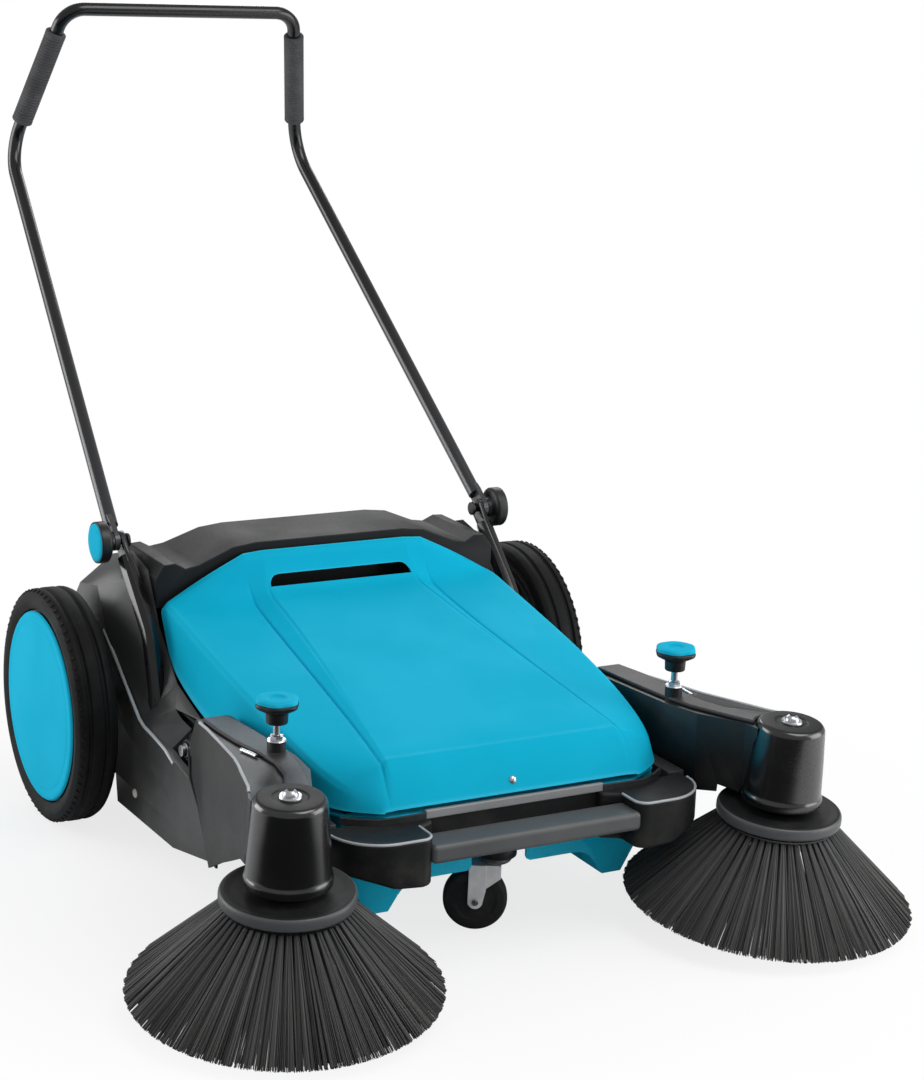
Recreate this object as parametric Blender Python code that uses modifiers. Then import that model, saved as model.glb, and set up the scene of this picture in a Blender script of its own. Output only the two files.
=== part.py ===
"""Walk-behind manual floor sweeper with two side brushes, a lift-out hopper and a folding handle.

Metres, +Z up, +X to the right seen from the front, and the front of the machine faces -Y.
Inside this script every Y is measured from the wheel axle, forward is negative. The last step
moves the whole machine so that its box is centred over the origin, with the wheels on Z = 0.
"""

import math

import bmesh
import bpy
from mathutils import Euler, Matrix, Vector

# Clearances.
GAP = 0.0003
RUN = 0.0006
SHELL_GAP = 0.0015

# Wheels and axle.
WHEEL_R = 0.150
WHEEL_FACE_X = 0.363
TYRE_WIDTH = 0.056
TYRE_DEPTH = 0.026
DISC_INSET = 0.0026
DISC_R = WHEEL_R - TYRE_DEPTH - DISC_INSET
WHEEL_SIDES = 28
AXLE_R = 0.010
AXLE_Z = WHEEL_R
BUSH_R = 0.017

# Chassis.
SIDE_X = 0.240
SIDE_THICK = 0.044
HOUSING_X = 0.2318
SILL_Z = 0.060
REAR_WALL_Y = 0.112
RIM_TOP_Z = 0.364
RIM_FRONT_Y = -0.092
RIM_BACK_Y = -0.004
WALL = 0.004

# Main brush and its gears.
BRUSH_Y = -0.140
BRUSH_Z = 0.116
MAIN_BRUSH_R = 0.108
CORE_R = 0.045
BRUSH_SHAFT_R = 0.008
GEAR_RATIO = 3
PINION_TEETH = 12
GEAR_WIDTH = 0.008
GEAR_X = 0.247

# Cross shaft, which carries both side brush arms.
CROSS_Y = -0.270
CROSS_Z = 0.165
CROSS_R = 0.007
ARM_PULLEY_X = 0.2690
ARM_PULLEY_R = 0.0088
ARM_PULLEY_WIDTH = 0.006
ARM_BELT_R = 0.0022
BELT_X = -0.2435
BELT_THICK = 0.003
BELT_WIDTH = 0.006
AXLE_PULLEY_R = 0.036
CROSS_PULLEY_R = 0.018

# Hopper.
HOOD_FRONT_Y = -0.586
HOOD_WALL = 0.003
SLOT_HALF = 0.100
TUB_X = 0.205
TUB_FRONT_Y = -0.556
TUB_BACK_Y = -0.296
TUB_FLOOR_Z = 0.047
TUB_RIM_Z = 0.1720

# Front bumper, which is also the front carry handle.
BUMPER_X = 0.236
BUMPER_FRONT_Y = -0.646
BUMPER_TOP_Z = 0.166
BLOCK_BOTTOM_Z = 0.110
BLOCK_INNER_X = 0.131
RAIL_BOTTOM_Z = 0.134
RAIL_DEPTH = 0.042
BUMPER_SLOT_X = 0.100
BUMPER_CORNER_R = 0.060
RELIEF_IN = 0.034
RELIEF_RISE = 0.016

# Side brushes and their arms. The brush leans forwards and outwards.
SIDE_BRUSH_X = 0.316
SIDE_BRUSH_Y = -0.661
FLANGE_Z = 0.138
FLANGE_R = 0.0736
LEAN_FORWARD = 0.076
LEAN_OUT = 0.028
TIP_R = 0.174
TIP_DROP = 0.116
CUP_BASE_R = 0.047
CUP_TOP_R = 0.041
CUP_BASE = 0.014
CUP_HEIGHT = 0.098
CUP_SIDES = 20
SPINDLE_R = 0.006
SPINDLE_PULLEY_R = 0.0100
KNOB_X = 0.262
KNOB_Y = -0.508
BRACKET_TOP_Z = 0.104

# Handle.
TUBE_R = 0.0095
LOWER_TUBE_R = 0.011
HINGE_X = 0.262
HINGE_Y = -0.017
HINGE_Z = 0.362
BEND_X = 0.2215
BEND_Y = 0.520
BEND_Z = 0.800
TOP_X = 0.172
TOP_RISE = 0.203
TOP_LEAN = 0.096
GRIP_R = 0.0145
LOWER_BEND_R = 0.060
TOP_BEND_R = 0.035
GRIP_SPARE_LOW = 0.0039
GRIP_SPARE_HIGH = 0.0087

# Caster.
CASTER_Y = -0.548
CASTER_TRAIL = 0.022
CASTER_TURN = math.radians(60.9)
CASTER_R = 0.0375
CASTER_WIDTH = 0.024
CASTER_LEG = 0.0025

FINISHES = {
    "black_plastic": ((0.018, 0.018, 0.019), 0.0, 0.42),
    "blue_plastic": ((0.012, 0.42, 0.66), 0.0, 0.38),
    "black_rubber": ((0.014, 0.014, 0.014), 0.0, 0.80),
    "black_tube": ((0.012, 0.012, 0.013), 0.2, 0.22),
    "bright_zinc": ((0.62, 0.63, 0.64), 1.0, 0.28),
    "steel": ((0.45, 0.46, 0.48), 1.0, 0.35),
    "black_bristle": ((0.020, 0.020, 0.020), 0.0, 0.65),
    "white_nylon": ((0.75, 0.75, 0.72), 0.0, 0.45),
}

SIDES = (("left", -1), ("right", 1))


def clear_scene():
    for old in list(bpy.data.objects):
        bpy.data.objects.remove(old)


def new_collection(name):
    group = bpy.data.collections.new(name)
    bpy.context.scene.collection.children.link(group)
    return group


def finish(name):
    """The Principled material of one finish, made once."""
    if name in bpy.data.materials:
        return bpy.data.materials[name]
    colour, metallic, roughness = FINISHES[name]
    material = bpy.data.materials.new(name)
    material.use_nodes = True
    shader = material.node_tree.nodes["Principled BSDF"]
    shader.inputs["Base Color"].default_value = (*colour, 1.0)
    shader.inputs["Metallic"].default_value = metallic
    shader.inputs["Roughness"].default_value = roughness
    return material


clear_scene()
PARTS = new_collection("manual_floor_sweeper")
CUTTERS = new_collection("cutters")


def empty(name, location, parent, rotation=(0.0, 0.0, 0.0)):
    """A frame that pieces hang on, such as a joint axis."""
    frame = bpy.data.objects.new(name, None)
    frame.location = location
    frame.rotation_euler = rotation
    frame.parent = parent
    PARTS.objects.link(frame)
    return frame


MACHINE = empty("machine", (0.0, 0.0, 0.0), None)


def keep(obj, material, parent=MACHINE, smooth=None):
    """Files a finished object among the parts, with its material and its parent."""
    for group in list(obj.users_collection):
        group.objects.unlink(obj)
    PARTS.objects.link(obj)
    obj.parent = parent
    for tool in tools_of(obj):
        tool.parent = parent
    obj.data.materials.clear()
    obj.data.materials.append(finish(material))
    if smooth and obj.type == "MESH":
        obj.data.shade_smooth()
        obj.data.set_sharp_from_angle(angle=math.radians(smooth))
    return obj


def tools_of(obj):
    """The Boolean tools of an object, and the tools that shape those."""
    found = []
    for modifier in obj.modifiers:
        if modifier.type == "BOOLEAN":
            found.append(modifier.object)
            found += tools_of(modifier.object)
    return found


def mesh_object(name, build, location=(0.0, 0.0, 0.0), rotation=(0.0, 0.0, 0.0)):
    """An object whose mesh the function build fills."""
    mesh = bpy.data.meshes.new(name)
    bm = bmesh.new()
    build(bm)
    bm.to_mesh(mesh)
    bm.free()
    obj = bpy.data.objects.new(name, mesh)
    obj.location = location
    obj.rotation_euler = rotation
    PARTS.objects.link(obj)
    return obj


def block(name, low, high):
    """A box between two corners."""
    size = [b - a for a, b in zip(low, high)]
    centre = [(a + b) / 2 for a, b in zip(low, high)]

    def build(bm):
        bmesh.ops.create_cube(bm, size=1.0)
        bmesh.ops.scale(bm, vec=size, verts=bm.verts)

    return mesh_object(name, build, centre)


AXIS_TURN = {
    "x": (0.0, math.pi / 2, 0.0),
    "y": (-math.pi / 2, 0.0, 0.0),
    "z": (0.0, 0.0, 0.0),
}


def rod(name, radius, length, centre, axis="z", sides=20, top=None):
    """A cylinder, or a cone when top gives the radius of its far end."""

    def build(bm):
        bmesh.ops.create_cone(
            bm, cap_ends=True, segments=sides, radius1=radius,
            radius2=radius if top is None else top, depth=length,
        )

    return mesh_object(name, build, centre, AXIS_TURN[axis])


PLANE_TURN = {
    "xy": (0.0, 0.0, 0.0),
    "yz": (math.pi / 2, 0.0, math.pi / 2),
    "xz": (math.pi / 2, 0.0, 0.0),
}


def plate(name, outlines, plane, middle, thickness, keep_curve=False):
    """A flat outline with any holes, given thickness along the plane's normal."""
    curve = bpy.data.curves.new(name, "CURVE")
    curve.dimensions = "2D"
    curve.fill_mode = "BOTH"
    curve.extrude = thickness / 2
    for outline in outlines:
        spline = curve.splines.new("POLY")
        spline.points.add(len(outline) - 1)
        for point, (u, v) in zip(spline.points, outline):
            point.co = (u, v, 0.0, 1.0)
        spline.use_cyclic_u = True
    obj = bpy.data.objects.new(name, curve)
    obj.rotation_euler = PLANE_TURN[plane]
    normal = Euler(PLANE_TURN[plane]).to_matrix() @ Vector((0, 0, 1))
    obj.location = normal * middle * (1 if plane != "xz" else -1)
    PARTS.objects.link(obj)
    return obj if keep_curve else as_mesh(obj)


def as_mesh(obj):
    """Turns a curve object into a mesh object of the same name, with its caps welded."""
    bpy.context.view_layer.update()
    graph = bpy.context.evaluated_depsgraph_get()
    mesh = bpy.data.meshes.new_from_object(obj.evaluated_get(graph))
    bm = bmesh.new()
    bm.from_mesh(mesh)
    bmesh.ops.remove_doubles(bm, verts=bm.verts, dist=0.00001)
    bmesh.ops.recalc_face_normals(bm, faces=bm.faces)
    bm.to_mesh(mesh)
    bm.free()
    name = obj.name
    made = bpy.data.objects.new(name + "_mesh", mesh)
    made.matrix_world = obj.matrix_world.copy()
    bpy.data.objects.remove(obj)
    made.name = name
    PARTS.objects.link(made)
    return made


def turned(name, profile, location=(0.0, 0.0, 0.0), rotation=(0.0, 0.0, 0.0), steps=24):
    """A profile of (radius, height) turned about Z, from the top down its outer side."""
    mesh = bpy.data.meshes.new(name)
    points = [(radius, 0.0, height) for radius, height in profile]
    edges = [(i, (i + 1) % len(points)) for i in range(len(points))]
    if profile[0][0] == 0.0:
        edges = edges[:-1]
    mesh.from_pydata(points, edges, [])
    obj = bpy.data.objects.new(name, mesh)
    obj.location = location
    obj.rotation_euler = rotation
    screw = obj.modifiers.new("turn", "SCREW")
    screw.axis = "Z"
    screw.steps = steps
    screw.render_steps = steps
    screw.use_merge_vertices = True
    screw.merge_threshold = 0.00005
    screw.use_smooth_shade = True
    PARTS.objects.link(obj)
    return obj


def tube(name, points, radius, cyclic=False, sides=2, keep_curve=False):
    """A round tube along a path of points."""
    curve = bpy.data.curves.new(name, "CURVE")
    curve.dimensions = "3D"
    curve.bevel_depth = radius
    curve.bevel_resolution = sides
    curve.use_fill_caps = not cyclic
    spline = curve.splines.new("POLY")
    spline.points.add(len(points) - 1)
    for point, place in zip(spline.points, points):
        point.co = (*place, 1.0)
    spline.use_cyclic_u = cyclic
    obj = bpy.data.objects.new(name, curve)
    PARTS.objects.link(obj)
    return obj if keep_curve else as_mesh(obj)


def bevel(obj, width, segments=2, angle=40.0):
    """Rounds the sharp edges of an object whose scale is one."""
    modifier = obj.modifiers.new("rounded", "BEVEL")
    modifier.width = width
    modifier.segments = segments
    modifier.limit_method = "ANGLE"
    modifier.angle_limit = math.radians(angle)
    return obj


def boolean(obj, tool, operation="DIFFERENCE"):
    """Cuts or joins with a tool, which is then left out of the model."""
    for group in list(tool.users_collection):
        group.objects.unlink(tool)
    CUTTERS.objects.link(tool)
    tool.hide_render = True
    tool.display_type = "WIRE"
    tool.name = "tool_" + obj.name + "_" + tool.name
    modifier = obj.modifiers.new(operation.lower(), "BOOLEAN")
    modifier.object = tool
    modifier.operation = operation
    modifier.solver = "EXACT"
    return obj


def arc(centre, radius, start, end, steps):
    """Points on an arc in degrees, both ends included."""
    turns = [math.radians(start + (end - start) * i / steps) for i in range(steps + 1)]
    return [(centre[0] + radius * math.cos(t), centre[1] + radius * math.sin(t)) for t in turns]


def circle(centre, radius, steps=24):
    return arc(centre, radius, 0, 360, steps)[:-1]


def rounded_path(corners, radii, steps=4):
    """A path of 3-D points through corners, with each inner corner turned at its radius."""
    path = [Vector(corners[0])]
    for before, corner, after, radius in zip(corners, corners[1:], corners[2:], radii):
        before, corner, after = Vector(before), Vector(corner), Vector(after)
        back = (before - corner).normalized()
        ahead = (after - corner).normalized()
        half = back.angle(ahead) / 2
        reach = radius / math.tan(half)
        middle = corner + (back + ahead).normalized() * (radius / math.sin(half))
        first = (corner + back * reach - middle).normalized()
        last = (corner + ahead * reach - middle).normalized()
        for i in range(steps + 1):
            path.append(middle + first.slerp(last, i / steps) * radius)
    path.append(Vector(corners[-1]))
    return path


def loft(name, first, last, first_x, last_x):
    """A solid between two outlines of (y, z) points that lie at two values of X."""

    def build(bm):
        rings = [
            [bm.verts.new((x, y, z)) for y, z in outline]
            for x, outline in ((first_x, first), (last_x, last))
        ]
        bm.faces.new(rings[0])
        bm.faces.new(rings[1])
        for i in range(len(first)):
            j = (i + 1) % len(first)
            bm.faces.new((rings[0][i], rings[0][j], rings[1][j], rings[1][i]))
        bmesh.ops.triangulate(bm, faces=bm.faces)
        bmesh.ops.recalc_face_normals(bm, faces=bm.faces)

    return mesh_object(name, build)


def both(points):
    """A half outline on the +X side, mirrored to a whole one."""
    return points + [(-x, z) for x, z in reversed(points)]


def wheel_frames():
    frames = {}
    for side, s in SIDES:
        middle = s * (WHEEL_FACE_X - TYRE_WIDTH / 2)
        frames[side] = empty(
            "wheel_axis_" + side, (middle, 0.0, AXLE_Z), MACHINE, (0.0, s * math.pi / 2, 0.0)
        )
    return frames


def tyre_profile():
    half = TYRE_WIDTH / 2
    inner = WHEEL_R - TYRE_DEPTH
    groove = 0.0025
    crown = [
        (inner, half - 0.002), (inner + 0.004, half), (WHEEL_R - 0.010, half - 0.001),
        (WHEEL_R - 0.003, half - 0.006),
    ]
    tread = []
    for place in (0.011, -0.011):
        top = place + 0.002
        low = place - 0.002
        tread += [(WHEEL_R, top), (WHEEL_R - groove, top), (WHEEL_R - groove, low), (WHEEL_R, low)]
    return crown + tread + [(r, -h) for r, h in reversed(crown)]


def make_wheel(side, frame):
    half = TYRE_WIDTH / 2
    seat = WHEEL_R - TYRE_DEPTH - GAP
    cover_seat = half - 0.004
    tyre = turned("wheel_tyre_" + side, tyre_profile(), steps=WHEEL_SIDES)
    keep(tyre, "black_rubber", frame)
    hub_r = 0.026
    bore = AXLE_R + GAP
    rim = [
        (bore, 0.012), (hub_r, 0.012), (hub_r, -0.006), (seat - 0.006, -0.006),
        (seat - 0.006, cover_seat - GAP), (seat, cover_seat - GAP), (seat, -half + 0.004),
        (seat - 0.008, -0.011), (hub_r, -0.011), (hub_r, -half + 0.001), (bore, -half + 0.001),
    ]
    body = turned("wheel_rim_" + side, rim, steps=WHEEL_SIDES)
    keep(body, "black_plastic", frame)
    face = [
        (0.0, half), (DISC_R - 0.006, half), (DISC_R - 0.001, half - 0.001),
        (DISC_R, half - 0.004), (DISC_R - 0.004, half - 0.004), (DISC_R - 0.012, half - 0.003),
        (0.0, half - 0.003),
    ]
    keep(turned("wheel_disc_" + side, face, steps=WHEEL_SIDES), "blue_plastic", frame)


def gear_outline(teeth, radius, phase):
    """A spur gear's outline: slim straight teeth with running clearance at pitch radius."""
    module = 2 * radius / teeth
    tip = radius + 0.75 * module
    root = radius - 1.05 * module
    pitch = 360.0 / teeth
    points = []
    for i in range(teeth):
        middle = phase + i * pitch
        for reach, share in ((root, -0.34), (tip, -0.13), (tip, 0.13), (root, 0.34)):
            turn = math.radians(middle + share * pitch)
            points.append((reach * math.cos(turn), reach * math.sin(turn)))
    return points


def belt_outline(start, start_r, end, end_r, steps=16):
    """The outline round two discs, as an open belt takes it."""
    start, end = Vector(start), Vector(end)
    line = end - start
    heading = math.degrees(math.atan2(line.y, line.x))
    lean = math.degrees(math.acos((start_r - end_r) / line.length))
    first = arc(start, start_r, heading + lean, heading + 360 - lean, steps)
    return first + arc(end, end_r, heading - lean, heading + lean, steps)


def shaft_frame(name, y, z):
    return empty(name, (0.0, y, z), MACHINE)


def make_drive(axle_frame, brush_frame, cross_frame):
    """Axle, gear pair, main brush and cross shaft."""
    axle_half = WHEEL_FACE_X - TYRE_WIDTH / 2 + 0.014
    keep(rod("wheel_axle", AXLE_R, 2 * axle_half, (0, 0, 0), "x"), "steel", axle_frame, 30)
    centre = math.hypot(BRUSH_Y, BRUSH_Z - AXLE_Z)
    pinion_r = centre / (GEAR_RATIO + 1)
    heading = math.degrees(math.atan2(BRUSH_Z - AXLE_Z, BRUSH_Y))
    big = gear_outline(PINION_TEETH * GEAR_RATIO, pinion_r * GEAR_RATIO, heading)
    hole = circle((0, 0), AXLE_R + GAP)
    gear = plate("drive_gear", [big, hole], "yz", 0.0, GEAR_WIDTH)
    gear.location = (GEAR_X, 0.0, 0.0)
    keep(gear, "white_nylon", axle_frame)
    small = gear_outline(PINION_TEETH, pinion_r, heading + 180 + 180.0 / PINION_TEETH)
    hole = circle((0, 0), BRUSH_SHAFT_R + GAP)
    pinion = plate("brush_pinion", [small, hole], "yz", 0.0, GEAR_WIDTH)
    pinion.location = (GEAR_X, 0.0, 0.0)
    keep(pinion, "white_nylon", brush_frame)
    pulley = pulley_profile(AXLE_PULLEY_R, AXLE_R + GAP, BELT_WIDTH)
    turn = (0.0, math.pi / 2, 0.0)
    made = turned("axle_pulley", pulley, (BELT_X, 0, 0), turn)
    keep(made, "white_nylon", axle_frame)
    keep(turned("cross_shaft", cross_shaft_profile(), rotation=turn, steps=16), "steel", cross_frame)
    pulley = pulley_profile(CROSS_PULLEY_R, CROSS_R + GAP, BELT_WIDTH)
    made = turned("cross_pulley", pulley, (BELT_X, 0, 0), turn, 24)
    keep(made, "white_nylon", cross_frame)
    seat = 2 * GAP
    ends = ((0.0, AXLE_Z), (CROSS_Y, CROSS_Z))
    inner = belt_outline(ends[0], AXLE_PULLEY_R + seat, ends[1], CROSS_PULLEY_R + seat)
    thick = seat + BELT_THICK
    outer = belt_outline(ends[0], AXLE_PULLEY_R + thick, ends[1], CROSS_PULLEY_R + thick)
    belt = plate("drive_belt", [outer, inner], "yz", BELT_X, BELT_WIDTH - 0.001)
    keep(belt, "black_rubber")


def cross_shaft_profile():
    """The shaft that both arms hang on, with a belt pulley turned near each end."""
    end = SIDE_X + SIDE_THICK - 0.006
    near = ARM_PULLEY_X - ARM_PULLEY_WIDTH / 2
    far = ARM_PULLEY_X + ARM_PULLEY_WIDTH / 2
    right = [
        (0.0, end), (CROSS_R, end), (CROSS_R, far), (ARM_PULLEY_R, far), (ARM_PULLEY_R, near),
        (CROSS_R, near),
    ]
    return right + [(r, -x) for r, x in reversed(right)]


def pulley_profile(radius, bore, width):
    """A plain pulley, bored for its shaft."""
    half = width / 2
    return [(bore, half), (radius, half), (radius, -half), (bore, -half)]


def make_main_brush(brush_frame):
    """The sweeping roller: a sleeve on its shaft, with bristle strands in six helical rows."""
    shaft_half = SIDE_X + 0.016
    shaft = rod("main_brush_shaft", BRUSH_SHAFT_R, 2 * shaft_half, (0, 0, 0), "x", 20)
    keep(shaft, "steel", brush_frame, 30)
    columns = 18
    rows = 12
    half = HOUSING_X - 0.006
    bore = BRUSH_SHAFT_R + GAP

    def build(bm):
        rings = []
        for i in range(rows + 1):
            x = -half + 2 * half * i / rows
            rings.append(ring_of(bm, columns, CORE_R, x))
        outer = [wall_between(bm, a, b) for a, b in zip(rings, rings[1:])]
        near = ring_of(bm, columns, bore, -half)
        far = ring_of(bm, columns, bore, half)
        wall_between(bm, near, rings[0])
        wall_between(bm, rings[-1], far)
        wall_between(bm, far, near)
        for i, faces in enumerate(outer):
            for tuft in range(6):
                face = faces[(3 * tuft + i // 2) % columns]
                grow_strand(bm, face, Vector((1, 0, 0)), MAIN_BRUSH_R, 0.30, 0.9)
        bmesh.ops.recalc_face_normals(bm, faces=bm.faces)

    roller = mesh_object("main_brush_roller", build)
    keep(roller, "black_bristle", brush_frame)


def ring_of(bm, count, radius, x):
    points = []
    for i in range(count):
        turn = 2 * math.pi * i / count
        points.append(bm.verts.new((x, radius * math.cos(turn), radius * math.sin(turn))))
    return points


def wall_between(bm, first, second):
    count = len(first)
    return [
        bm.faces.new((first[i], first[(i + 1) % count], second[(i + 1) % count], second[i]))
        for i in range(count)
    ]


def grow_strand(bm, face, axis, reach, root_share, tip_share):
    """Insets one face of the sleeve and draws it straight out to a distance from the axis."""
    middle = face.calc_center_median()
    outward = (middle - axis * middle.dot(axis)).normalized()
    grown = bmesh.ops.extrude_discrete_faces(bm, faces=[face])["faces"][0]
    corners = [v.co.copy() for v in grown.verts]
    for vert, corner in zip(grown.verts, corners):
        vert.co = middle + (corner - middle) * root_share
    tip = bmesh.ops.extrude_discrete_faces(bm, faces=[grown])["faces"][0]
    rise = outward * (reach - middle.dot(outward))
    for vert in tip.verts:
        vert.co = middle + (vert.co - middle) * tip_share + rise


def tunnel_radius():
    return MAIN_BRUSH_R + 0.007


def make_housing():
    """The main moulding: the brush tunnel, the rear wall and the rails round the hopper."""
    half = SIDE_X - GAP
    shell = HOUSING_X
    rear = REAR_WALL_Y - WALL - GAP
    outline = [
        (rear, SILL_Z), (rear, 0.225), (0.085, 0.245), (-0.060, 0.262), (-0.200, 0.240), (-0.256, 0.206),
        (-0.256, 0.186), (-0.232, 0.186), (-0.232, SILL_Z),
    ]
    body = plate("chassis_housing", [outline], "yz", 0.0, 2 * shell)
    reach = CROSS_Y + 0.075
    for s in (-1, 1):
        near, far = sorted((s * half, s * (half - 0.022)))
        rail_top = TUB_RIM_Z - 0.003 - GAP
        rail = block("rail", (near, HOOD_FRONT_Y + 0.014, 0.112), (far, reach, rail_top))
        boolean(body, rail, "UNION")
        near, far = sorted((s * half, s * (shell - 0.002)))
        sill = block("sill", (near, -0.232, SILL_Z), (far, rear, 0.178))
        boolean(body, sill, "UNION")
    throat_half = shell - 0.003
    tunnel = rod("tunnel", tunnel_radius(), 2 * throat_half, (0, BRUSH_Y, BRUSH_Z), "x", 32)
    boolean(body, tunnel)
    low = (-throat_half, BRUSH_Y - 0.13, 0.030)
    boolean(body, block("mouth", low, (throat_half, BRUSH_Y + 0.075, BRUSH_Z)))
    boolean(body, block("throat", low, (throat_half, BRUSH_Y - 0.06, 0.1820)))
    back = block("back_hollow", (-throat_half, AXLE_R + 0.014, 0.030),
                 (throat_half, rear - WALL, 0.236))
    boolean(body, back)
    boolean(body, rod("axle_way", AXLE_R + 0.002, 1.0, (0, 0, AXLE_Z), "x"))
    boolean(body, rod("brush_way", BRUSH_SHAFT_R + RUN, 1.0, (0, BRUSH_Y, BRUSH_Z), "x"))
    boolean(body, rod("cross_way", CROSS_R + RUN, 1.0, (0, CROSS_Y, CROSS_Z), "x"))
    keep(body, "black_plastic", smooth=30)


FRAME_INNER = [
    (0.112, 0.070), (0.112, 0.262), (0.060, 0.325), (-0.010, 0.346), (-0.066, 0.334),
    (-0.105, 0.270), (-0.165, 0.214), (-0.240, 0.192), (-0.318, 0.172), (-0.390, 0.066),
    (-0.262, 0.040), (-0.075, 0.036), (-0.068, 0.070),
]
FRAME_OUTER = [
    (0.106, 0.072), (0.106, 0.240), (0.062, 0.290), (-0.002, 0.302), (-0.030, 0.262),
    (-0.078, 0.206), (-0.145, 0.162), (-0.260, 0.152), (-0.314, 0.144), (-0.390, 0.066),
    (-0.262, 0.040), (-0.075, 0.036), (-0.068, 0.072),
]


def make_side_frame(side, s):
    """A side cheek with its fender, hollow inside for the gears and for the root of the arm."""
    inner_x = s * SIDE_X
    outer_x = s * (SIDE_X + SIDE_THICK)
    body = loft("side_frame_" + side, FRAME_INNER, FRAME_OUTER, inner_x, outer_x)
    centre = math.hypot(BRUSH_Y, BRUSH_Z - AXLE_Z)
    pinion_r = centre / (GEAR_RATIO + 1)
    chamber_x = s * (GEAR_X - 0.002)
    chamber = 2 * (GEAR_WIDTH / 2 + 0.0035)
    clear = 0.006
    gear_ends = ((0.0, AXLE_Z), (BRUSH_Y, BRUSH_Z))
    case = plate("gear_case", [belt_outline(gear_ends[0], pinion_r * GEAR_RATIO + clear,
                 gear_ends[1], pinion_r + clear)], "yz", chamber_x, chamber)
    boolean(body, case)
    belt_ends = ((0.0, AXLE_Z), (CROSS_Y, CROSS_Z))
    case = plate("belt_case", [belt_outline(belt_ends[0], AXLE_PULLEY_R + clear,
                 belt_ends[1], CROSS_PULLEY_R + clear)], "yz", chamber_x, chamber)
    boolean(body, case)
    root = [(-0.242, 0.110), (-0.242, 0.230), (-0.420, 0.230), (-0.420, 0.030), (-0.300, 0.080)]
    root_half = (SIDE_THICK - 0.007) / 2 + 0.001
    boolean(body, plate("root", [root], "yz", s * (SIDE_X + root_half - 0.002), 2 * root_half))
    boolean(body, rod("bush_seat", BUSH_R + GAP, 0.2, (outer_x, 0, AXLE_Z), "x", 28))
    through = 2 * (SIDE_THICK - 0.005)
    boolean(body, rod("cross_way", CROSS_R + RUN, through, (inner_x, CROSS_Y, CROSS_Z), "x", 20))
    boolean(body, rod("brush_way", BRUSH_SHAFT_R + RUN, 0.040, (inner_x, BRUSH_Y, BRUSH_Z), "x", 20))
    cut_post_socket(body, s)
    keep(body, "black_plastic", smooth=30)
    bush = [
        (AXLE_R + RUN / 6, 0.010), (BUSH_R, 0.010), (BUSH_R, -0.010), (AXLE_R + RUN / 6, -0.010),
    ]
    place = (s * (SIDE_X + SIDE_THICK - 0.012), 0.0, AXLE_Z)
    keep(turned("axle_bush_" + side, bush, place, (0, math.pi / 2, 0), 28), "white_nylon")
    make_side_flap(side, s)


def make_side_flap(side, s):
    """The rubber skirt that closes the side of the sweeping width, notched along its lower edge."""
    top = 0.0355
    low_back = 0.008
    low_front = 0.016
    back, front = -0.085, -0.290
    notches = 9
    lower = []
    for i in range(notches):
        share = i / (notches - 1)
        y = back + (front - back) * share
        z = low_back + (low_front - low_back) * share
        lower.append((y, z + (0.004 if i % 2 else 0.0)))
    outline = lower + [(front, 0.085), (-0.262, 0.085), (-0.262, top + 0.02), (back, top + 0.02)]
    x = s * (SIDE_X - 0.0015 - GAP)
    flap = plate("side_flap_" + side, [outline], "yz", x, 0.003)
    keep(flap, "black_rubber")


def make_rear_cover():
    """The raised rear moulding behind the hopper lid, with its humped shoulders."""
    half = SIDE_X - GAP
    arch = both([
        (half, 0.100), (half, 0.328), (0.229, 0.345), (0.214, 0.346), (0.200, 0.338),
        (0.182, 0.341), (0.136, 0.360), (0.104, RIM_TOP_Z),
    ])
    side = [
        (RIM_FRONT_Y, 0.2900), (RIM_FRONT_Y, 0.420), (RIM_BACK_Y, 0.420), (0.034, 0.338),
        (REAR_WALL_Y - 0.012, 0.268), (REAR_WALL_Y, 0.235), (REAR_WALL_Y, 0.105),
        (REAR_WALL_Y - WALL, 0.105), (REAR_WALL_Y - WALL, 0.235), (-0.020, 0.290),
    ]
    deep = 0.300
    cover = plate("rear_cover", [arch], "xz", 0.0, 2 * deep)
    boolean(cover, plate("side_shape", [side], "yz", 0.0, 4 * half), "INTERSECT")
    inner = both([
        (half - WALL, 0.110), (half - WALL, 0.326), (0.226, 0.341), (0.216, 0.341), (0.201, 0.333),
        (0.180, 0.336), (0.135, 0.355), (0.104, RIM_TOP_Z - WALL),
    ])
    hollow = plate("inner_arch", [inner], "xz", 0.0, 2 * deep)
    keep_wall = [
        (RIM_FRONT_Y + WALL, 0.200), (RIM_FRONT_Y + WALL, 0.400), (RIM_BACK_Y, 0.400 - WALL),
        (0.030, 0.334), (REAR_WALL_Y - WALL - 0.012, 0.266), (REAR_WALL_Y - WALL, 0.234),
        (REAR_WALL_Y - WALL, 0.100), (0.050, 0.100),
    ]
    boolean(hollow, plate("inner_side", [keep_wall], "yz", 0.0, 4 * half), "INTERSECT")
    boolean(cover, hollow)
    keep(bevel(cover, 0.0015, 1), "black_plastic", smooth=35)


def make_flaps():
    half = SIDE_X - 0.010
    rear = block("rear_flap", (-half, 0.1030, 0.006), (half, 0.1060, 0.0597))
    keep(rear, "black_rubber")


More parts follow.
